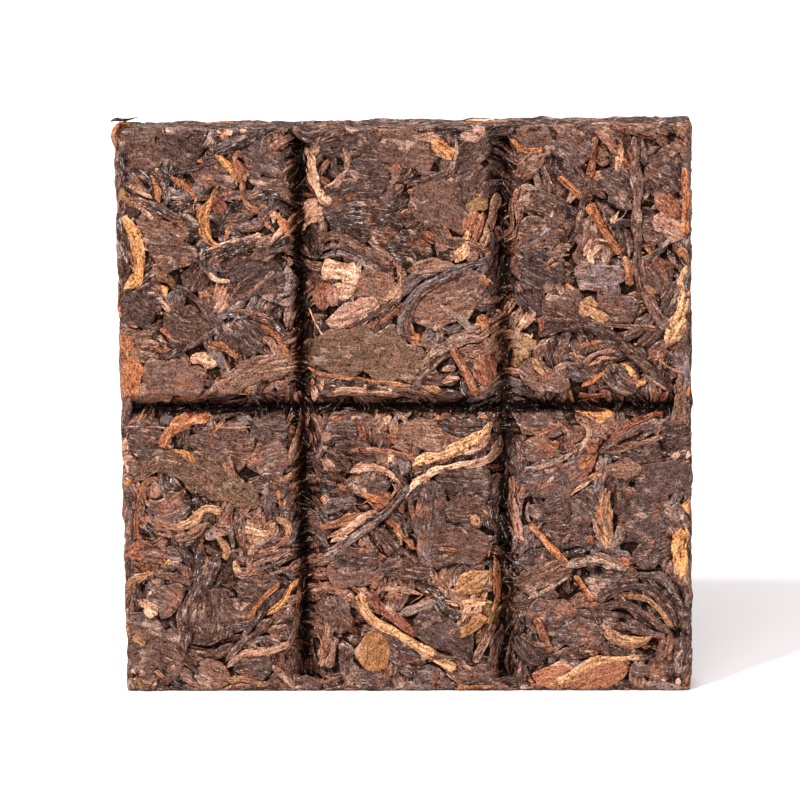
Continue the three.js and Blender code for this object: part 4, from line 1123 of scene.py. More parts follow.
def press(sheet, rng):
    """Finds the level that the press brings a laid sheet to, which is the mean height round each
    place inside its rims, and the height evened out more closely, and draws its ridges."""
    cells = [np.arange(size) * CELL - MARGIN for size in sheet.height.shape]
    extent = sheet.high - sheet.low
    inside = (np.abs(cells[0] - extent[0] / 2) < extent[0] / 2 + 1)[:, None]
    inside = inside & (np.abs(cells[1] - extent[1] / 2) < extent[1] / 2 + 1)[None, :]
    weight = blurred(inside.astype(float), PRESS_REACH / CELL) + 1e-3
    sheet.even = blurred(sheet.height * inside, PRESS_REACH / CELL) / weight
    sheet.near = blurred(sheet.height, NEAR / CELL)
    sheet.close = blurred(sheet.height, CLOSE / CELL)
    sheet.crumple = crumpled(rng, sheet.height.shape)


def find_runs(sheet):
    """Finds how much of each leaf shows, and the runs of its steps where it shows or nearly."""
    for number, leaf in enumerate(sheet.leaves):
        shows = sheet.owner[leaf["cells"]] == number
        reach = leaf["times"] + 1
        spread = np.convolve(shows.any(axis=1), np.ones(2 * reach + 1), mode="same")
        steps = spread[:: leaf["times"]] > 0
        turns = np.flatnonzero(np.diff(np.concatenate([[0], steps, [0]]))).reshape(-1, 2)
        leaf["shown"] = shows.mean()
        leaf["runs"] = [slice(first, last) for first, last in turns if last - first > 1]


@lru_cache
def laid_sheets():
    """All six sides with their leaves laid and pressed."""
    sheets = brick_sheets()
    rng = np.random.default_rng(LEAF_SEED)
    lay_front(sheets["front"], rng)
    for row in BACK_LEAVES:
        scatter_leaves(sheets["back"], rng, *row)
    for name, turn in (("right", np.pi / 2), ("left", np.pi / 2), ("top", 0), ("under", 0)):
        lay_edge(sheets[name], rng, turn)
    for sheet in sheets.values():
        press(sheet, rng)
        find_runs(sheet)
    return sheets


def pressed(rise):
    """What the press leaves of a height over the mean level: the inverse of sinh flattens it the
    more, the farther it is from that level."""
    return PRESS_SCALE * np.arcsinh(rise / PRESS_START)


def hole_depth(sheet, u, v):
    """How far the holes sink the front at each place; the sinking also paints shade on them."""
    depth = np.zeros(u.shape)
    if sheet.name == "front":
        for x, z, radius in HOLES:
            depth += HOLE_DEPTH * np.exp(-((u - x) ** 2 + (v - z) ** 2) / radius**2)
    return depth


def band(distance, beside, reach, strength):
    """A band beside a line, which fades as exp(-d^2) with the distance from its middle."""
    return strength * np.exp(-(((distance - beside) / reach) ** 2))


def groove_painted_shade(sheet, u, v):
    """How much painted shade the front's grooves lay on each place: more the deeper it lies, as its
    depth to the 1.3, and most in bands under the level groove's upper lip and on one wall of the
    others, where the lamps reach less."""
    depth = np.clip(sheet.form(u, v) / GROOVE_DEPTH, 0, 1)
    lip = band(v - LEVEL_GROOVE, *LIP_PAINTED_SHADOW)
    walls = sum(band(u - middle, *wall) for middle, wall in zip(UPRIGHT_GROOVES, WALL_PAINTED_SHADE))
    return GROOVE_PAINTED_SHADE * depth**1.3 + (lip + walls) * (depth > 0)


# What a leaf holds for each step along it
RUN_FIELDS = ("places", "face", "bedding", "share", "reach", "crease")


def leaf_heights(sheet, leaf, u, v):
    """How far a leaf's face rises over the sheet: what the press leaves of its bedding, its own
    thickness and folds, and the ridges that run through all leaves. Also how far it stands over
    what lies round it, less the holes and the grooves' painted shade, by which its finish paints
    shade on it where it is low."""
    face = leaf["face"]
    cells = sheet.cells_of(u, v)
    sunk = hole_depth(sheet, u, v)
    in_groove = np.clip(sheet.form(u, v) / GROOVE_DEPTH, 0, 1)
    own = face - leaf["bedding"]
    ridge = CRUMPLE * sheet.crumple[cells]
    rise = pressed(leaf["bedding"] - sheet.even[cells]) * (1 - 0.5 * in_groove)
    rise = rise + own * OWN_RELIEF + ridge - sunk
    # Painted shade: a leaf that lies low against its neighbours, sunk in a hole or in a groove, is
    # painted darker
    relief = 0.75 * (face - sheet.near[cells]) + 1.1 * (face - sheet.close[cells]) + 1.2 * ridge
    return rise, relief - sunk - groove_painted_shade(sheet, u, v)


def leaf_mesh(sheet, leaf, run):
    """The closed skin of a run of a leaf: its face, two rows of places under it, and a point at
    either end. Returns its points and triangles, and its tint, grain, relief, crease and
    character, which its finish reads."""
    leaf = {**leaf, **{key: leaf[key][run] for key in RUN_FIELDS}}
    places = leaf["places"]
    u, v = places[..., 0], places[..., 1]
    rise, relief = leaf_heights(sheet, leaf, u, v)
    under = leaf["thick"] + SKIRT
    feet = [places[:, -2], places[:, 1]]
    foot_rise = [rise[:, -2:].min(axis=1) - under, rise[:, :2].min(axis=1) - under]
    u = np.column_stack([u] + [foot[:, 0] for foot in feet])
    v = np.column_stack([v] + [foot[:, 1] for foot in feet])
    rise = np.column_stack([rise] + foot_rise)
    relief, crease, reach = (
        np.column_stack([field, field[:, -1], field[:, 0]])
        for field in (relief, leaf["crease"], leaf["reach"])
    )
    rows, ring = u.shape
    points = with_ends(sheet.carry(u, v, rise))
    dark, light = (srgb(*levels) for levels in TINTS[leaf["tint"]])
    blend = np.clip(leaf["seed"][0] + 0.25 * (leaf["share"] - 0.5), 0, 1)[:, None, None]
    colour = (dark * (1 - blend) + light * blend) * np.ones((1, ring, 1))
    along = leaf["share"][:, None] * leaf["length"] * np.ones((1, ring))
    shift = GRAIN_SHIFT * leaf["seed"]
    grain = np.stack([along + shift[0], reach + shift[1]], axis=-1)
    character = np.full((len(points), 1), leaf["seed"][1])
    fields = [with_ends(field) for field in (colour, grain, relief[..., None], crease[..., None])]
    return points, tube_triangles(rows, ring), *fields, character


def with_ends(field):
    """A field of rows of places as a list of places, with the mean of the first row and that of
    the last one added to it for the points at the ends."""
    ends = [field[0].mean(0), field[-1].mean(0)]
    return np.vstack([field.reshape(-1, field.shape[-1]), ends])


def tube_triangles(rows, ring):
    """The triangles of a closed skin of rows of places and a point at either end."""
    corner = np.arange(rows * ring).reshape(rows, ring)
    turned = np.roll(corner, -1, axis=1)
    a, b, c, d = corner[:-1], corner[1:], turned[1:], turned[:-1]
    quads = np.stack([a, b, c, a, c, d], axis=-1).reshape(-1, 3)
    start = np.stack([np.full(ring, rows * ring), corner[0], turned[0]], axis=1)
    end = np.stack([np.full(ring, rows * ring + 1), turned[-1], corner[-1]], axis=1)
    return np.vstack([quads, start, end])


def standing_stem(rng, tint, *corners):
    """The closed skin of a stem that stands free: rings of eight places about the curve through
    its corners, square to it and as wide there as given. Returns the same as leaf_mesh."""
    path, tangent, length = smooth_path(corners, 0.3)
    rows, ring = len(path), 8
    ahead = tangent[:, :3] / np.linalg.norm(tangent[:, :3], axis=1, keepdims=True)
    side = np.cross(ahead, (0.3, 1, 0.2))
    side /= np.linalg.norm(side, axis=1, keepdims=True)
    up = np.cross(side, ahead)
    turn = np.arange(ring)[:, None] * 2 * np.pi / ring
    spoke = np.cos(turn) * side[:, None] + np.sin(turn) * up[:, None]
    half = path[:, 3:, None] * (1 + 0.14 * rng.standard_normal((rows, ring, 1)))
    points = with_ends(path[:, None, :3] + half * spoke)
    dark, light = (srgb(*levels) for levels in TINTS[tint])
    along = np.linspace(0, length, rows)[:, None] * np.ones((1, ring))
    grain = np.stack([along, np.arange(ring) * 0.4 * np.ones((rows, 1))], axis=-1)
    relief, crease = 0.1 * half / path[:, 3:, None], rng.uniform(0.2, 0.7, (rows, ring, 1))
    colour = (dark + light) / 2 * np.ones((rows, ring, 1))
    fields = [with_ends(field) for field in (colour, grain, relief, crease)]
    return points, tube_triangles(rows, ring), *fields, np.full((len(points), 1), 0.5)


def make_piece(name, points, triangles, material, attributes=None, grain=None):
    """A smooth mesh object in metres from points in millimetres, riding on the brick."""
    mesh = bpy.data.meshes.new(name)
    mesh.vertices.add(len(points))
    mesh.vertices.foreach_set("co", (wander(points) * MM).astype(np.float32).ravel())
    mesh.loops.add(triangles.size)
    mesh.loops.foreach_set("vertex_index", triangles.astype(np.int32).ravel())
    mesh.polygons.add(len(triangles))
    mesh.polygons.foreach_set("loop_start", np.arange(0, triangles.size, 3, dtype=np.int32))
    mesh.update(calc_edges=True)
    mesh.polygons.foreach_set("use_smooth", np.ones(len(triangles), bool))
    if grain is not None:
        layer = mesh.uv_layers.new(name="grain")
        layer.data.foreach_set("uv", grain[triangles.ravel()].astype(np.float32).ravel())
    for title, values in (attributes or {}).items():
        is_colour = values.shape[1] == 3
        kind = "FLOAT_COLOR" if is_colour else "FLOAT"
        layer = mesh.attributes.new(title, kind, "POINT")
        if is_colour:
            values = np.column_stack([values, np.ones(len(values))])
        layer.data.foreach_set("color" if is_colour else "value", values.astype(np.float32).ravel())
    mesh.materials.append(material)
    piece = bpy.data.objects.new(name, mesh)
    bpy.context.scene.collection.objects.link(piece)
    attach(piece, "root")
    return piece


def leaves_piece(name, kind, sides, material, wanted=None, standing=()):
    """Joins the showing leaves of a kind on some sides, and what stands free, into a piece."""
    parts = list(standing)
    for side in sides:
        sheet = laid_sheets()[side]
        for leaf in sheet.leaves:
            fits = leaf["kind"] == kind and leaf["shown"] > LEAST_SHOWN
            if fits and (wanted is None or leaf["tint"] in wanted):
                parts += [leaf_mesh(sheet, leaf, run) for run in leaf["runs"]]
    starts = np.cumsum([0] + [len(part[0]) for part in parts])
    triangles = np.vstack([part[1] + start for part, start in zip(parts, starts)])
    points, colour, grain, relief, crease, character = (
        np.vstack([part[k] for part in parts]) for k in (0, 2, 3, 4, 5, 6)
    )
    attributes = dict(tint=colour, relief=relief, crease=crease, character=character)
    make_piece(name, points, triangles, material, attributes, grain)


class Shade:
    """A socket in a node tree. Arithmetic on it adds Math nodes."""

    def __init__(self, tree, socket=None):
        self.tree, self.socket = tree, socket

    def node(self, kind, settings=None, inputs=None, out=0):
        """Adds any node: its settings first, then its inputs' values or links by name or number."""
        made = self.tree.nodes.new(kind)
        for name, value in (settings or {}).items():
            if name == "stops":
                ramp = made.color_ramp.elements
                while len(ramp) < len(value):
                    ramp.new(0.5)
                for element, (position, level) in zip(ramp, value):
                    element.position = position
                    element.color = (*level, 1) if np.ndim(level) else (level, level, level, 1)
            else:
                setattr(made, name, value)
        for name, value in (inputs or {}).items():
            socket = made.inputs[name]
            if isinstance(value, Shade):
                self.tree.links.new(value.socket, socket)
            else:
                socket.default_value = value
        return Shade(self.tree, made.outputs[out] if made.outputs else None)

    def math(self, operation, *values):
        """Adds a Math node."""
        return self.node("ShaderNodeMath", {"operation": operation}, dict(enumerate(values)))

    def __add__(self, other):
        return self.math("ADD", self, other)

    __radd__ = __add__

    def __sub__(self, other):
        return self.math("SUBTRACT", self, other)

    def __rsub__(self, other):
        return self.math("SUBTRACT", other, self)

    def __mul__(self, other):
        return self.math("MULTIPLY", self, other)

    __rmul__ = __mul__

    def between(self, low, high):
        """0 below low, 1 above high, smooth between."""
        settings = {"interpolation_type": "SMOOTHSTEP"}
        return self.node("ShaderNodeMapRange", settings, {"Value": self, 1: low, 2: high})

    def mixed(self, share, first, second, blend="MIX"):
        """Mixes two colours by a share."""
        settings = {"data_type": "RGBA", "blend_type": blend, "clamp_factor": True}
        return self.node("ShaderNodeMix", settings, {0: share, 6: first, 7: second}, 2)


def new_tree(name):
    """A material with an empty node tree, and a shade to build it with."""
    material = bpy.data.materials.new(name)
    material.use_nodes = True
    material.node_tree.nodes.clear()
    return material, Shade(material.node_tree)


def finish_tree(tree, base, roughness, normal, **constants):
    """Ends a tree in a Principled BSDF, its constants set on the sockets."""
    settings = {"Base Color": base, "Roughness": roughness, "Normal": normal}
    surface = tree.node("ShaderNodeBsdfPrincipled", None, {**settings, **constants})
    tree.node("ShaderNodeOutputMaterial", None, {"Surface": surface})


def stretched(tree, vector, along, across, shift=0.0):
    """A place on the grain, scaled along and across it."""
    inputs = {0: vector, 1: (along, across, 1), 2: (shift, shift, shift)}
    return tree.node("ShaderNodeVectorMath", {"operation": "MULTIPLY_ADD"}, inputs)


def noise(tree, vector, scale, detail=3.0, roughness=0.55, out=0):
    """Cloudy noise from 0 to 1."""
    inputs = {"Vector": vector, "Scale": scale, "Detail": detail, "Roughness": roughness}
    return tree.node("ShaderNodeTexNoise", None, inputs, out)


def crumple(tree, vector, feature, out):
    """Cells of a crumpled surface."""
    inputs = {"Vector": vector, "Scale": 1.0, "Randomness": 1.0}
    return tree.node("ShaderNodeTexVoronoi", {"feature": feature}, inputs, out)


def leaf_patterns(tree):
    """What a dried leaf's finish is made of: what its mesh carries; facets and fibres along its
    grain, which noise bends; and patches, mottles and specks."""
    grain = tree.node("ShaderNodeUVMap", {"uv_map": "grain"})
    place = tree.node("ShaderNodeTexCoord", out="Object")
    drift = noise(tree, place, 520.0, 2.0, 0.6, "Color")
    bending = {0: drift, 1: (1.6, 0.9, 0), 2: grain}
    bent = tree.node("ShaderNodeVectorMath", {"operation": "MULTIPLY_ADD"}, bending)
    cells = stretched(tree, bent, 0.24, 1.1)
    facet = crumple(tree, cells, "F1", "Color")
    outputs = {"tint": "Color", "relief": "Fac", "crease": "Fac", "character": "Fac"}
    carried = {
        name: tree.node("ShaderNodeAttribute", {"attribute_name": name}, out=out)
        for name, out in outputs.items()
    }
    return SimpleNamespace(
        **carried, place=place, bent=bent,
        brightness=tree.node("ShaderNodeRGBToBW", None, {0: carried["tint"]}),
        lined=carried["character"].between(0.3, 0.8),
        facets=tree.node("ShaderNodeSeparateColor", None, {0: facet}),
        edge=crumple(tree, cells, "DISTANCE_TO_EDGE", "Distance"),
        fibres=noise(tree, stretched(tree, bent, 0.3, 2.5, 40.0), 1.0, 3.0, 0.65),
        ridges=noise(tree, stretched(tree, bent, 0.55, 5.0, 11.0), 1.0, 2.0, 0.6),
        stains=noise(tree, stretched(tree, bent, 0.3, 1.3, 70.0), 1.0, 3.0, 0.65),
        patches=noise(tree, place, 300.0, 3.0, 0.6),
        mottle=noise(tree, place, 1000.0, 3.0, 0.7),
        specks=noise(tree, place, 3000.0, 2.0, 0.7),
    )


def leaf_colour(tree, leaf, colours):
    """A leaf's tint with red-brown patches, tan facets, dusky mottles, and stains along the grain
    of the lighter leaves."""
    warm = leaf.patches.between(0.48, 0.66) * (0.1 + 0.55 * leaf.lined)
    base = tree.mixed(warm, leaf.tint, (*colours.warm, 1))
    tan = leaf.patches.between(0.45, 0.33) * leaf.facets * 0.7
    base = tree.mixed(tan, base, (*colours.tan, 1))
    base = tree.mixed(leaf.mottle.between(0.5, 0.72) * 0.4, base, (*colours.dusk, 1))
    stain = leaf.stains.between(0.46, 0.62) * 0.65 + (1 - leaf.facets) * 0.3
    return tree.mixed(stain * leaf.brightness.between(0.05, 0.25), base, (*colours.warm, 1))


def leaf_finish(name, strands, pale, gloss, fuzz, crumpled=1.0):
    """Dried leaf. Its fibres, mottles and specks are lighter and darker; its facets are lighter and
    darker, with dark cracks between them and dark lines along its grain, partly its own tone and
    partly painted light and shade of its crumples. Creases and low places get painted shade, darker
    and warmer; crests are paler, partly rubbed wear and partly painted highlight; some have a thin
    gloss, painted glints, and dust.

    Strands is how strong its fibres are, pale how pale its crests are and how strong its painted
    glints, gloss its roughness, fuzz its dust and crumpled its facets."""
    material, tree = new_tree(name)
    colours = bpy.context.scene.tea_brick_colours
    leaf = leaf_patterns(tree)
    # Facets lighter and darker, dark cracks between them and dark lines along the grain: partly the
    # leaf's own tone, partly painted light and shade of its crumples
    folded = crumpled * (1 - 0.45 * leaf.brightness.between(0.08, 0.4))
    cracks = leaf.edge.between(0.0, 0.06)
    lines = (leaf.fibres - 0.5).math("ABSOLUTE", leaf.fibres - 0.5).between(0.0, 0.06)
    light = 1.1 + (leaf.fibres - 0.5) * strands * 1.4
    light = light + (leaf.mottle - 0.5) * 1.6 + (leaf.specks - 0.5) * 3.3
    light = light * (1 + (leaf.facets - 0.5) * 0.4 * folded)
    light = light * (1 - 0.5 * folded * (1 - cracks)) * (1 - 0.4 * folded * (1 - lines))
    # Painted shade: darker, and through the ramp warmer, where a leaf lies low, in holes and
    # grooves, and at the bottoms of its creases
    painted_light_share = leaf.relief.between(-0.66, 0.0) * (0.5 + 0.5 * leaf.crease.between(0.08, 0.6))
    light = light * (0.03 + 0.97 * painted_light_share) * (0.68 + 0.6 * leaf.character)
    light = light.math("MAXIMUM", light, 0.0)
    dim = tree.node("ShaderNodeValToRGB", {"stops": DARKENING}, {"Fac": light * 0.5})
    base = tree.mixed(1.0, leaf_colour(tree, leaf, colours), dim, "MULTIPLY")
    # Crests pale: partly rubbed wear, partly painted highlight
    crest_wear_and_highlight = leaf.crease.between(0.35, 0.8) * leaf.fibres.between(0.55, 0.66)
    crest_wear_and_highlight = crest_wear_and_highlight * leaf.specks.between(0.42, 0.6) * pale
    base = tree.mixed(crest_wear_and_highlight * cracks, base, (*colours.crest_wear_and_highlight, 1))
    # Painted glints: near-white streaks on wrinkles, most on dark leaves, standing for the lamps'
    # highlights
    sombre = 1 - leaf.brightness.between(0.012, 0.045)
    painted_glint = (leaf.ridges + 0.05 * sombre).between(0.6, 0.67) * leaf.mottle.between(0.46, 0.6)
    painted_glint = painted_glint * painted_light_share * (0.35 + 0.65 * leaf.lined)
    painted_glint = painted_glint * (1.1 - leaf.brightness.between(0.02, 0.12))
    base = tree.mixed(painted_glint * (0.8 * pale + 0.2), base, (*colours.painted_glint, 1))
    dust = noise(tree, leaf.place, 2100.0, 4.0, 0.75).between(0.63, 0.72) * fuzz
    base = tree.mixed(dust, base, (*colours.dust, 1))
    roughness = gloss + (leaf.mottle - 0.5) * 0.5 + dust * 0.3 - 0.1 * leaf.lined
    height = leaf.edge.between(0.0, 0.35) * 0.8 + leaf.fibres * 0.6
    height = height + leaf.mottle * 1.3 + leaf.specks * 0.4
    inputs = {"Strength": 1.0, "Distance": 0.00024 * crumpled, "Height": height}
    normal = tree.node("ShaderNodeBump", None, inputs)
    finish = {"IOR": 1.45, "Specular IOR Level": 0.06, "Coat Roughness": 0.22, "Coat IOR": 1.5}
    finish["Coat Weight"] = leaf.mottle.between(0.42, 0.6) * leaf.relief.between(-0.2, 0.1) * 0.35
    finish_tree(tree, base, roughness, normal, **finish)
    return material


class TeaBrickSizes(PropertyGroup):
    core_depth: FloatProperty(
        name="Core depth",
        description="How far the dark core lies under the leaves' mean level",
        default=0.00085, min=0.0003, max=0.003, unit="LENGTH", precision=5,
    )
    crumbs: IntProperty(
        name="Crumbs", description="How many crumbs of leaf lie in the cracks",
        default=1500, min=0, max=4000,
    )


COLOUR = dict(subtype="COLOR", size=3, min=0, max=1)


class TeaBrickColours(PropertyGroup):
    # Crests pale to this colour: partly rubbed wear, partly painted highlight
    crest_wear_and_highlight: FloatVectorProperty(
        name="Leaf crests", description="Colour that rubbed crests of leaves pale to",
        **COLOUR, default=tuple(srgb(196, 158, 130)),
    )
    # Painted glints: colour mixed into the leaves on their wrinkles, standing for the lamps'
    # highlights
    painted_glint: FloatVectorProperty(
        name="Glints", description="Colour of the bright glossy wrinkles on the leaves",
        **COLOUR, default=tuple(srgb(214, 208, 206)),
    )
    dust: FloatVectorProperty(
        name="Leaf dust", description="Colour of dust and down on the leaves",
        **COLOUR, default=tuple(srgb(206, 182, 158)),
    )
    warm: FloatVectorProperty(
        name="Warm patches", description="Colour of the red-brown patches on the leaves",
        **COLOUR, default=tuple(srgb(128, 79, 54)),
    )
    tan: FloatVectorProperty(
        name="Tan spots", description="Colour of the pale tan spots on the leaves",
        **COLOUR, default=tuple(srgb(170, 132, 110)),
    )
    dusk: FloatVectorProperty(
        name="Dusky patches", description="Colour of the dark purplish mottles on the leaves",
        **COLOUR, default=tuple(srgb(60, 44, 41)),
    )
    # The core is dark partly as crushed leaf and partly as painted shade deep in the cracks
    core: FloatVectorProperty(
        name="Core", description="Colour of the dark core in the cracks",
        **COLOUR, default=tuple(srgb(46, 30, 23)),
    )
    floor: FloatVectorProperty(
        name="Floor", description="Colour of the floor",
        **COLOUR, default=(0.65, 0.605, 0.612),
    )


def core_finish():
    """Crushed leaf in the cracks: dark, partly its own tone and partly painted shade deep in the
    cracks; matt and lumpy, with lighter crumbs.
    """
    material, tree = new_tree("crushed leaf")
    colours = bpy.context.scene.tea_brick_colours
    place = tree.node("ShaderNodeTexCoord", out="Object")
    lumps = noise(tree, place, 900.0, 4.0)
    grains = noise(tree, place, 2600.0, 3.0)
    light = 0.25 + 1.8 * lumps.between(0.42, 0.62) * grains.between(0.35, 0.65)
    base = tree.node(
        "ShaderNodeVectorMath", {"operation": "SCALE"}, {0: tuple(colours.core), "Scale": light}
    )
    inputs = {"Strength": 1.0, "Distance": 0.0005, "Height": lumps + grains * 0.5}
    normal = tree.node("ShaderNodeBump", None, inputs)
    constants = {"IOR": 1.4, "Specular IOR Level": 0.06}
    finish_tree(tree, base, 0.8 + grains * 0.1, normal, **constants)
    return material


def build_core(depth):
    """The core: rings round the slab's section, one above another, closed by a point at the top
    and one at the bottom. A ring is a rounded rectangle with the upright grooves in its front
    side; its front side also sinks along the level groove."""
    half_x, half_y = (HIGH - LOW)[:2] / 2 - SKIN_UNDER_BOX - depth
    top = HIGH[2] - SKIN_UNDER_BOX - depth
    x = np.linspace(-half_x, half_x, int(2 * half_x / CORE_STEP))
    y = np.linspace(-half_y, half_y, int(2 * half_y / CORE_STEP) + 2)[1:-1]
    ring_x = np.concatenate([x, np.full(len(y), half_x), x[::-1], np.full(len(y), -half_x)])
    ring_y = np.concatenate([np.full(len(x), -half_y), y, np.full(len(x), half_y), y[::-1]])
    on_front = np.concatenate([np.ones(len(x)), np.zeros(2 * len(y) + len(x))])
    z = np.linspace(depth, top, int(top / CORE_STEP))
    level = np.concatenate([[z[0]] * 2, z, [z[-1]] * 2])
    shrink = np.concatenate([[0.5, 0.9], np.ones(len(z)), [0.9, 0.5]])[:, None]
    sink = on_front * grooves(ring_x[None, :], level[:, None])
    ring = np.stack([
        ring_x * shrink,
        (ring_y + sink) * shrink,
        level[:, None] * np.ones_like(ring_x),
    ], axis=-1)
    ends = [[0, 0, level[0]], [0, 0, level[-1]]]
    return np.vstack([ring.reshape(-1, 3), ends]), tube_triangles(*ring.shape[:2])[:, ::-1]


def crumb_lumps(rng, count):
    """Unit lumps: octahedra, each stretched along its axes and every corner moved in or out."""
    corners = np.array([[1, 0, 0], [-1, 0, 0], [0, 1, 0], [0, -1, 0], [0, 0, 1], [0, 0, -1]], float)
    upper = [[0, 2, 4], [2, 1, 4], [1, 3, 4], [3, 0, 4]]
    faces = np.array(upper + [[2, 0, 5], [1, 2, 5], [3, 1, 5], [0, 3, 5]])
    stretch = rng.uniform(0.35, 1.0, (count, 1, 3)) * rng.uniform(0.75, 1.25, (count, 6, 1))
    return corners[None] * stretch, faces


def build_crumbs(rng, count):
    """Crumbs in the cracks of every side, in numbers by its area: of many drawn places the ones
    that lie deepest under the mean level. Each lump is turned, scaled and sunk onto its place."""
    sheets = laid_sheets()
    areas = {name: np.prod(sheet.high - sheet.low) for name, sheet in sheets.items()}
    total = sum(areas.values())
    all_points, all_faces, all_tints, start = [], [], [], 0
    for name, sheet in sheets.items():
        number = int(count * areas[name] / total)
        tries = rng.uniform(sheet.low, sheet.high, (number * 8, 2))
        i, j = sheet.cells_of(tries[:, 0], tries[:, 1])
        depth = (sheet.even - sheet.height)[i, j]
        chosen = np.argsort(-depth)[: number * 3 : 3]
        places = tries[chosen]
        i, j = i[chosen], j[chosen]
        lumps, faces = crumb_lumps(rng, len(places))
        size = rng.uniform(0.18, 0.55, (len(places), 1, 1))
        turn = rng.random((len(places), 1)) * 6.3
        spin = np.stack([np.cos(turn), -np.sin(turn), np.sin(turn), np.cos(turn)], axis=-1)
        flat = np.einsum("nkij,nkj->nki", spin.reshape(-1, 1, 2, 2), lumps[..., :2]) * size
        u = places[:, None, 0] + flat[..., 0]
        v = places[:, None, 1] + flat[..., 1]
        base = pressed(sheet.height[i, j] - sheet.even[i, j])[:, None]
        rise = base + lumps[..., 2] * size[..., 0] * 0.7
        all_points.append(sheet.carry(u, v, rise).reshape(-1, 3))
        starts = start + 6 * np.arange(len(places))
        all_faces.append((faces[None] + starts[:, None, None]).reshape(-1, 3))
        start += 6 * len(places)
        names = rng.choice(np.array(CRUMB_TINTS), len(places))
        tints = np.array([srgb(*TINTS[name][0]) for name in names])
        all_tints.append(np.repeat(tints, 6, axis=0))
    return np.vstack(all_points), np.vstack(all_faces), np.vstack(all_tints)


class TEABRICK_OT_core(Operator):
    """Make the dark core that shows in the cracks"""

    bl_idname = "tea_brick.core"
    bl_label = "Core"

    def execute(self, context):
        points, triangles = build_core(context.scene.tea_brick_sizes.core_depth / MM)
        core = make_piece("core_of_crushed_leaf", points, triangles, core_finish())
        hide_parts("tea_brick")
        return {"FINISHED"}


class TEABRICK_OT_rolled(Operator):
    """Lay the rolled and twisted leaves"""

    bl_idname = "tea_brick.rolled"
    bl_label = "Rolled leaves"

    def execute(self, context):
        finish = leaf_finish(
            "rolled leaf", strands=1.3, pale=0.55, gloss=0.5, fuzz=0.35, crumpled=0.85
        )
        darks = ("black", "dark", "grey")
        browns = [tint for tint in TINTS if tint not in darks]
        for side in ("front", "back"):
            leaves_piece(f"dark_rolled_leaves_{side}", "rolled", [side], finish, darks)
            leaves_piece(f"brown_rolled_leaves_{side}", "rolled", [side], finish, browns)
        edges = ("left", "right", "top", "under")
        leaves_piece("rolled_leaves_edges", "rolled", edges, finish)
        return {"FINISHED"}


class TEABRICK_OT_blades(Operator):
    """Lay the broad leaf blades"""

    bl_idname = "tea_brick.blades"
    bl_label = "Leaf blades"

    def execute(self, context):
        finish = leaf_finish(
            "leaf blade", strands=0.9, pale=0.45, gloss=0.52, fuzz=0.3, crumpled=0.65
        )
        smooth = leaf_finish(
            "smooth leaf", strands=0.7, pale=0.2, gloss=0.5, fuzz=0.25, crumpled=0.45
        )
        leaves_piece("smooth_leaves", "sheet", laid_sheets(), smooth)
        leaves_piece("leaf_blades_front", "blade", ["front"], finish)
        elsewhere = ("back", "left", "right", "top", "under")
        leaves_piece("leaf_blades_elsewhere", "blade", elsewhere, finish)
        return {"FINISHED"}


class TEABRICK_OT_stems(Operator):
    """Lay the stems"""

    bl_idname = "tea_brick.stems"
    bl_label = "Stems"

    def execute(self, context):
        rng = np.random.default_rng(STEM_SEED)
        standing = [standing_stem(rng, *row) for row in STANDING_STEMS]
        finish = leaf_finish("stem", strands=1.1, pale=0.5, gloss=0.42, fuzz=0.2)
        leaves_piece("stems", "stem", laid_sheets(), finish, standing=standing)
        return {"FINISHED"}


class TEABRICK_OT_buds(Operator):
    """Lay the golden buds, pale flakes and fibres"""

    bl_idname = "tea_brick.buds"
    bl_label = "Buds, flakes and fibres"

    def execute(self, context):
        sides = laid_sheets()
        bud = leaf_finish("bud", strands=1.3, pale=0.35, gloss=0.6, fuzz=0.3, crumpled=0.7)
        flake = leaf_finish("flake", strands=1.0, pale=0.3, gloss=0.65, fuzz=0.3, crumpled=0.7)
        fibre = leaf_finish("fibre", strands=0.8, pale=0.3, gloss=0.6, fuzz=0.1)
        leaves_piece("golden_buds", "bud", sides, bud)
        leaves_piece("pale_flakes", "flake", sides, flake)
        leaves_piece("pale_fibres", "fibre", sides, fibre)
        return {"FINISHED"}


class TEABRICK_OT_crumbs(Operator):
    """Drop crumbs of leaf into the cracks"""

    bl_idname = "tea_brick.crumbs"
    bl_label = "Crumbs"

    def execute(self, context):
        rng = np.random.default_rng(CRUMB_SEED)
        points, triangles, tints = build_crumbs(rng, context.scene.tea_brick_sizes.crumbs)
        finish = leaf_finish("crumb", strands=0.6, pale=0.3, gloss=0.6, fuzz=0.3)
        plain = np.ones((len(points), 1))
        attributes = dict(tint=tints, relief=0 * plain, crease=plain, character=0.5 * plain)
        make_piece("crumbs", points, triangles, finish, attributes, points[:, :2])
        return {"FINISHED"}


class TEABRICK_OT_stage(Operator):
    """Set up the floor, lights and camera"""

    bl_idname = "tea_brick.stage"
    bl_label = "Stage"

    def execute(self, context):
        scene = context.scene
        add_floor(scene)
        add_sun("left light", azimuth=-37, elevation=42.5, strength=5.3, breadth=7)
        add_sun("upper light", azimuth=0, elevation=46, strength=2.55, breadth=40)
        add_sun("back light", azimuth=172, elevation=62, strength=2.0, breadth=40)
        world = bpy.data.worlds.new("studio")
        world.use_nodes = True
        background = world.node_tree.nodes["Background"]
        background.inputs["Color"].default_value = (1, 0.985, 0.97, 1)
        background.inputs["Strength"].default_value = 0.3
        scene.world = world
        scene.view_settings.view_transform = "Standard"
        add_camera(scene)
        return {"FINISHED"}


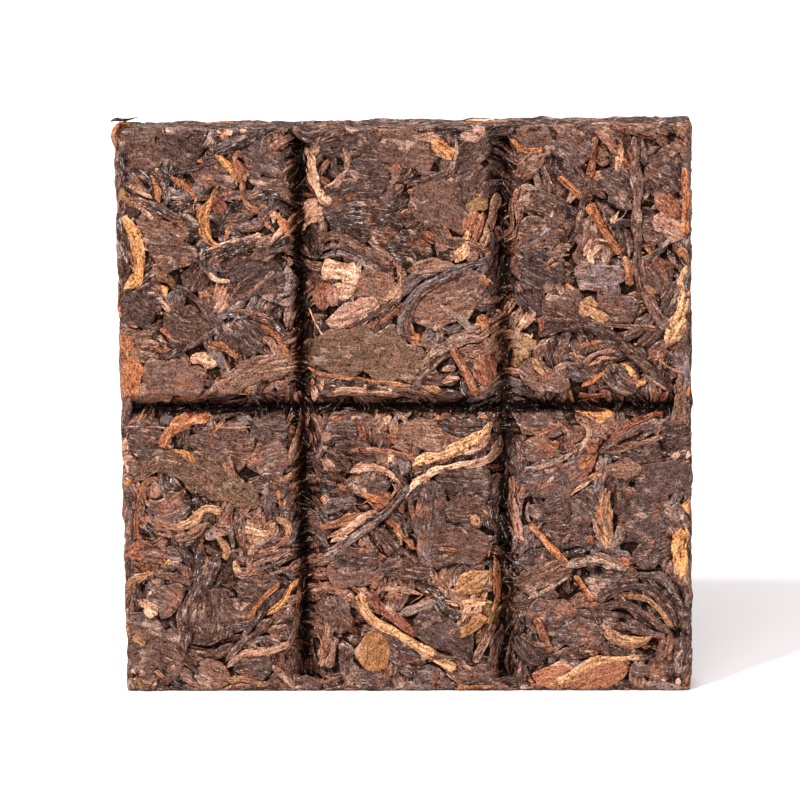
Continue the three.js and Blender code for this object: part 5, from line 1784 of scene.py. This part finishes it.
def add_floor(scene):
    """A plain square floor, in metres."""
    mesh = bpy.data.meshes.new("floor")
    reach = 6.0
    corners = [(-reach, -reach, 0), (reach, -reach, 0), (reach, reach, 0), (-reach, reach, 0)]
    mesh.from_pydata(corners, [], [(0, 1, 2, 3)])
    floor = bpy.data.objects.new("floor", mesh)
    scene.collection.objects.link(floor)
    material, tree = new_tree("pale floor")
    inputs = {"Base Color": (*scene.tea_brick_colours.floor, 1), "Roughness": 0.8}
    surface = tree.node("ShaderNodeBsdfPrincipled", None, inputs)
    tree.node("ShaderNodeOutputMaterial", None, {"Surface": surface})
    mesh.materials.append(material)


def add_sun(name, azimuth, elevation, strength, breadth):
    """A distant lamp. Azimuth 0 is straight in front and 90 is to the right, in degrees, and the
    breadth is the angle across its face."""
    light = bpy.data.lights.new(name, "SUN")
    light.angle = math.radians(breadth)
    light.energy = strength
    holder = bpy.data.objects.new(name, light)
    turn, tilt = math.radians(azimuth), math.radians(elevation)
    source = Vector((
        math.sin(turn) * math.cos(tilt), -math.cos(turn) * math.cos(tilt), math.sin(tilt)
    ))
    holder.rotation_euler = source.to_track_quat("Z", "Y").to_euler()
    bpy.context.scene.collection.objects.link(holder)


def add_camera(scene):
    """The photograph's camera: its way round, its height and roll, as angles; its aim, in
    metres; and its lens, on a 36 mm sensor."""
    azimuth, elevation, roll = (math.radians(angle) for angle in (2.58, 10.1, -0.7))
    aim = Vector((-0.00112, 0, 0.05135))
    away = 0.8
    back = Vector((
        math.sin(azimuth) * math.cos(elevation),
        -math.cos(azimuth) * math.cos(elevation),
        math.sin(elevation),
    ))
    right = Vector((0, 0, 1)).cross(back).normalized()
    up = back.cross(right)
    tilted_right = right * math.cos(roll) + up * math.sin(roll)
    tilted_up = up * math.cos(roll) - right * math.sin(roll)
    camera = bpy.data.cameras.new("camera")
    camera.lens = 204.3
    camera.sensor_width = 36
    camera.clip_start = 0.01
    holder = bpy.data.objects.new("camera", camera)
    turn = Matrix((tilted_right, tilted_up, back)).transposed().to_4x4()
    holder.matrix_world = Matrix.Translation(aim + back * away) @ turn
    scene.collection.objects.link(holder)
    scene.camera = holder


OPERATORS = (
    TEABRICK_OT_stage,
    TEABRICK_OT_core,
    TEABRICK_OT_rolled,
    TEABRICK_OT_blades,
    TEABRICK_OT_stems,
    TEABRICK_OT_buds,
    TEABRICK_OT_crumbs,
)


class TEABRICK_PT_panel(Panel):
    """Lists the brick's sizes, colours and steps"""

    bl_idname = "TEABRICK_PT_panel"
    bl_label = "Tea brick"
    bl_space_type = "VIEW_3D"
    bl_region_type = "UI"
    bl_category = "Tea brick"

    def draw(self, context):
        for group in (context.scene.tea_brick_sizes, context.scene.tea_brick_colours):
            for name in group.__annotations__:
                self.layout.prop(group, name)
        for operator in OPERATORS:
            self.layout.operator(operator.bl_idname)


CLASSES = (TeaBrickSizes, TeaBrickColours, *OPERATORS, TEABRICK_PT_panel)


def register():
    for each in CLASSES:
        bpy.utils.register_class(each)
    bpy.types.Scene.tea_brick_sizes = PointerProperty(type=TeaBrickSizes)
    bpy.types.Scene.tea_brick_colours = PointerProperty(type=TeaBrickColours)


def unregister():
    del bpy.types.Scene.tea_brick_colours
    del bpy.types.Scene.tea_brick_sizes
    for each in reversed(CLASSES):
        bpy.utils.unregister_class(each)


def main():
    """Builds the stage and every piece in order."""
    register()
    bpy.ops.tea_brick.stage()
    bpy.ops.tea_brick.core()
    bpy.ops.tea_brick.rolled()
    bpy.ops.tea_brick.blades()
    bpy.ops.tea_brick.stems()
    bpy.ops.tea_brick.buds()
    bpy.ops.tea_brick.crumbs()


if __name__ == "__main__":
    main()
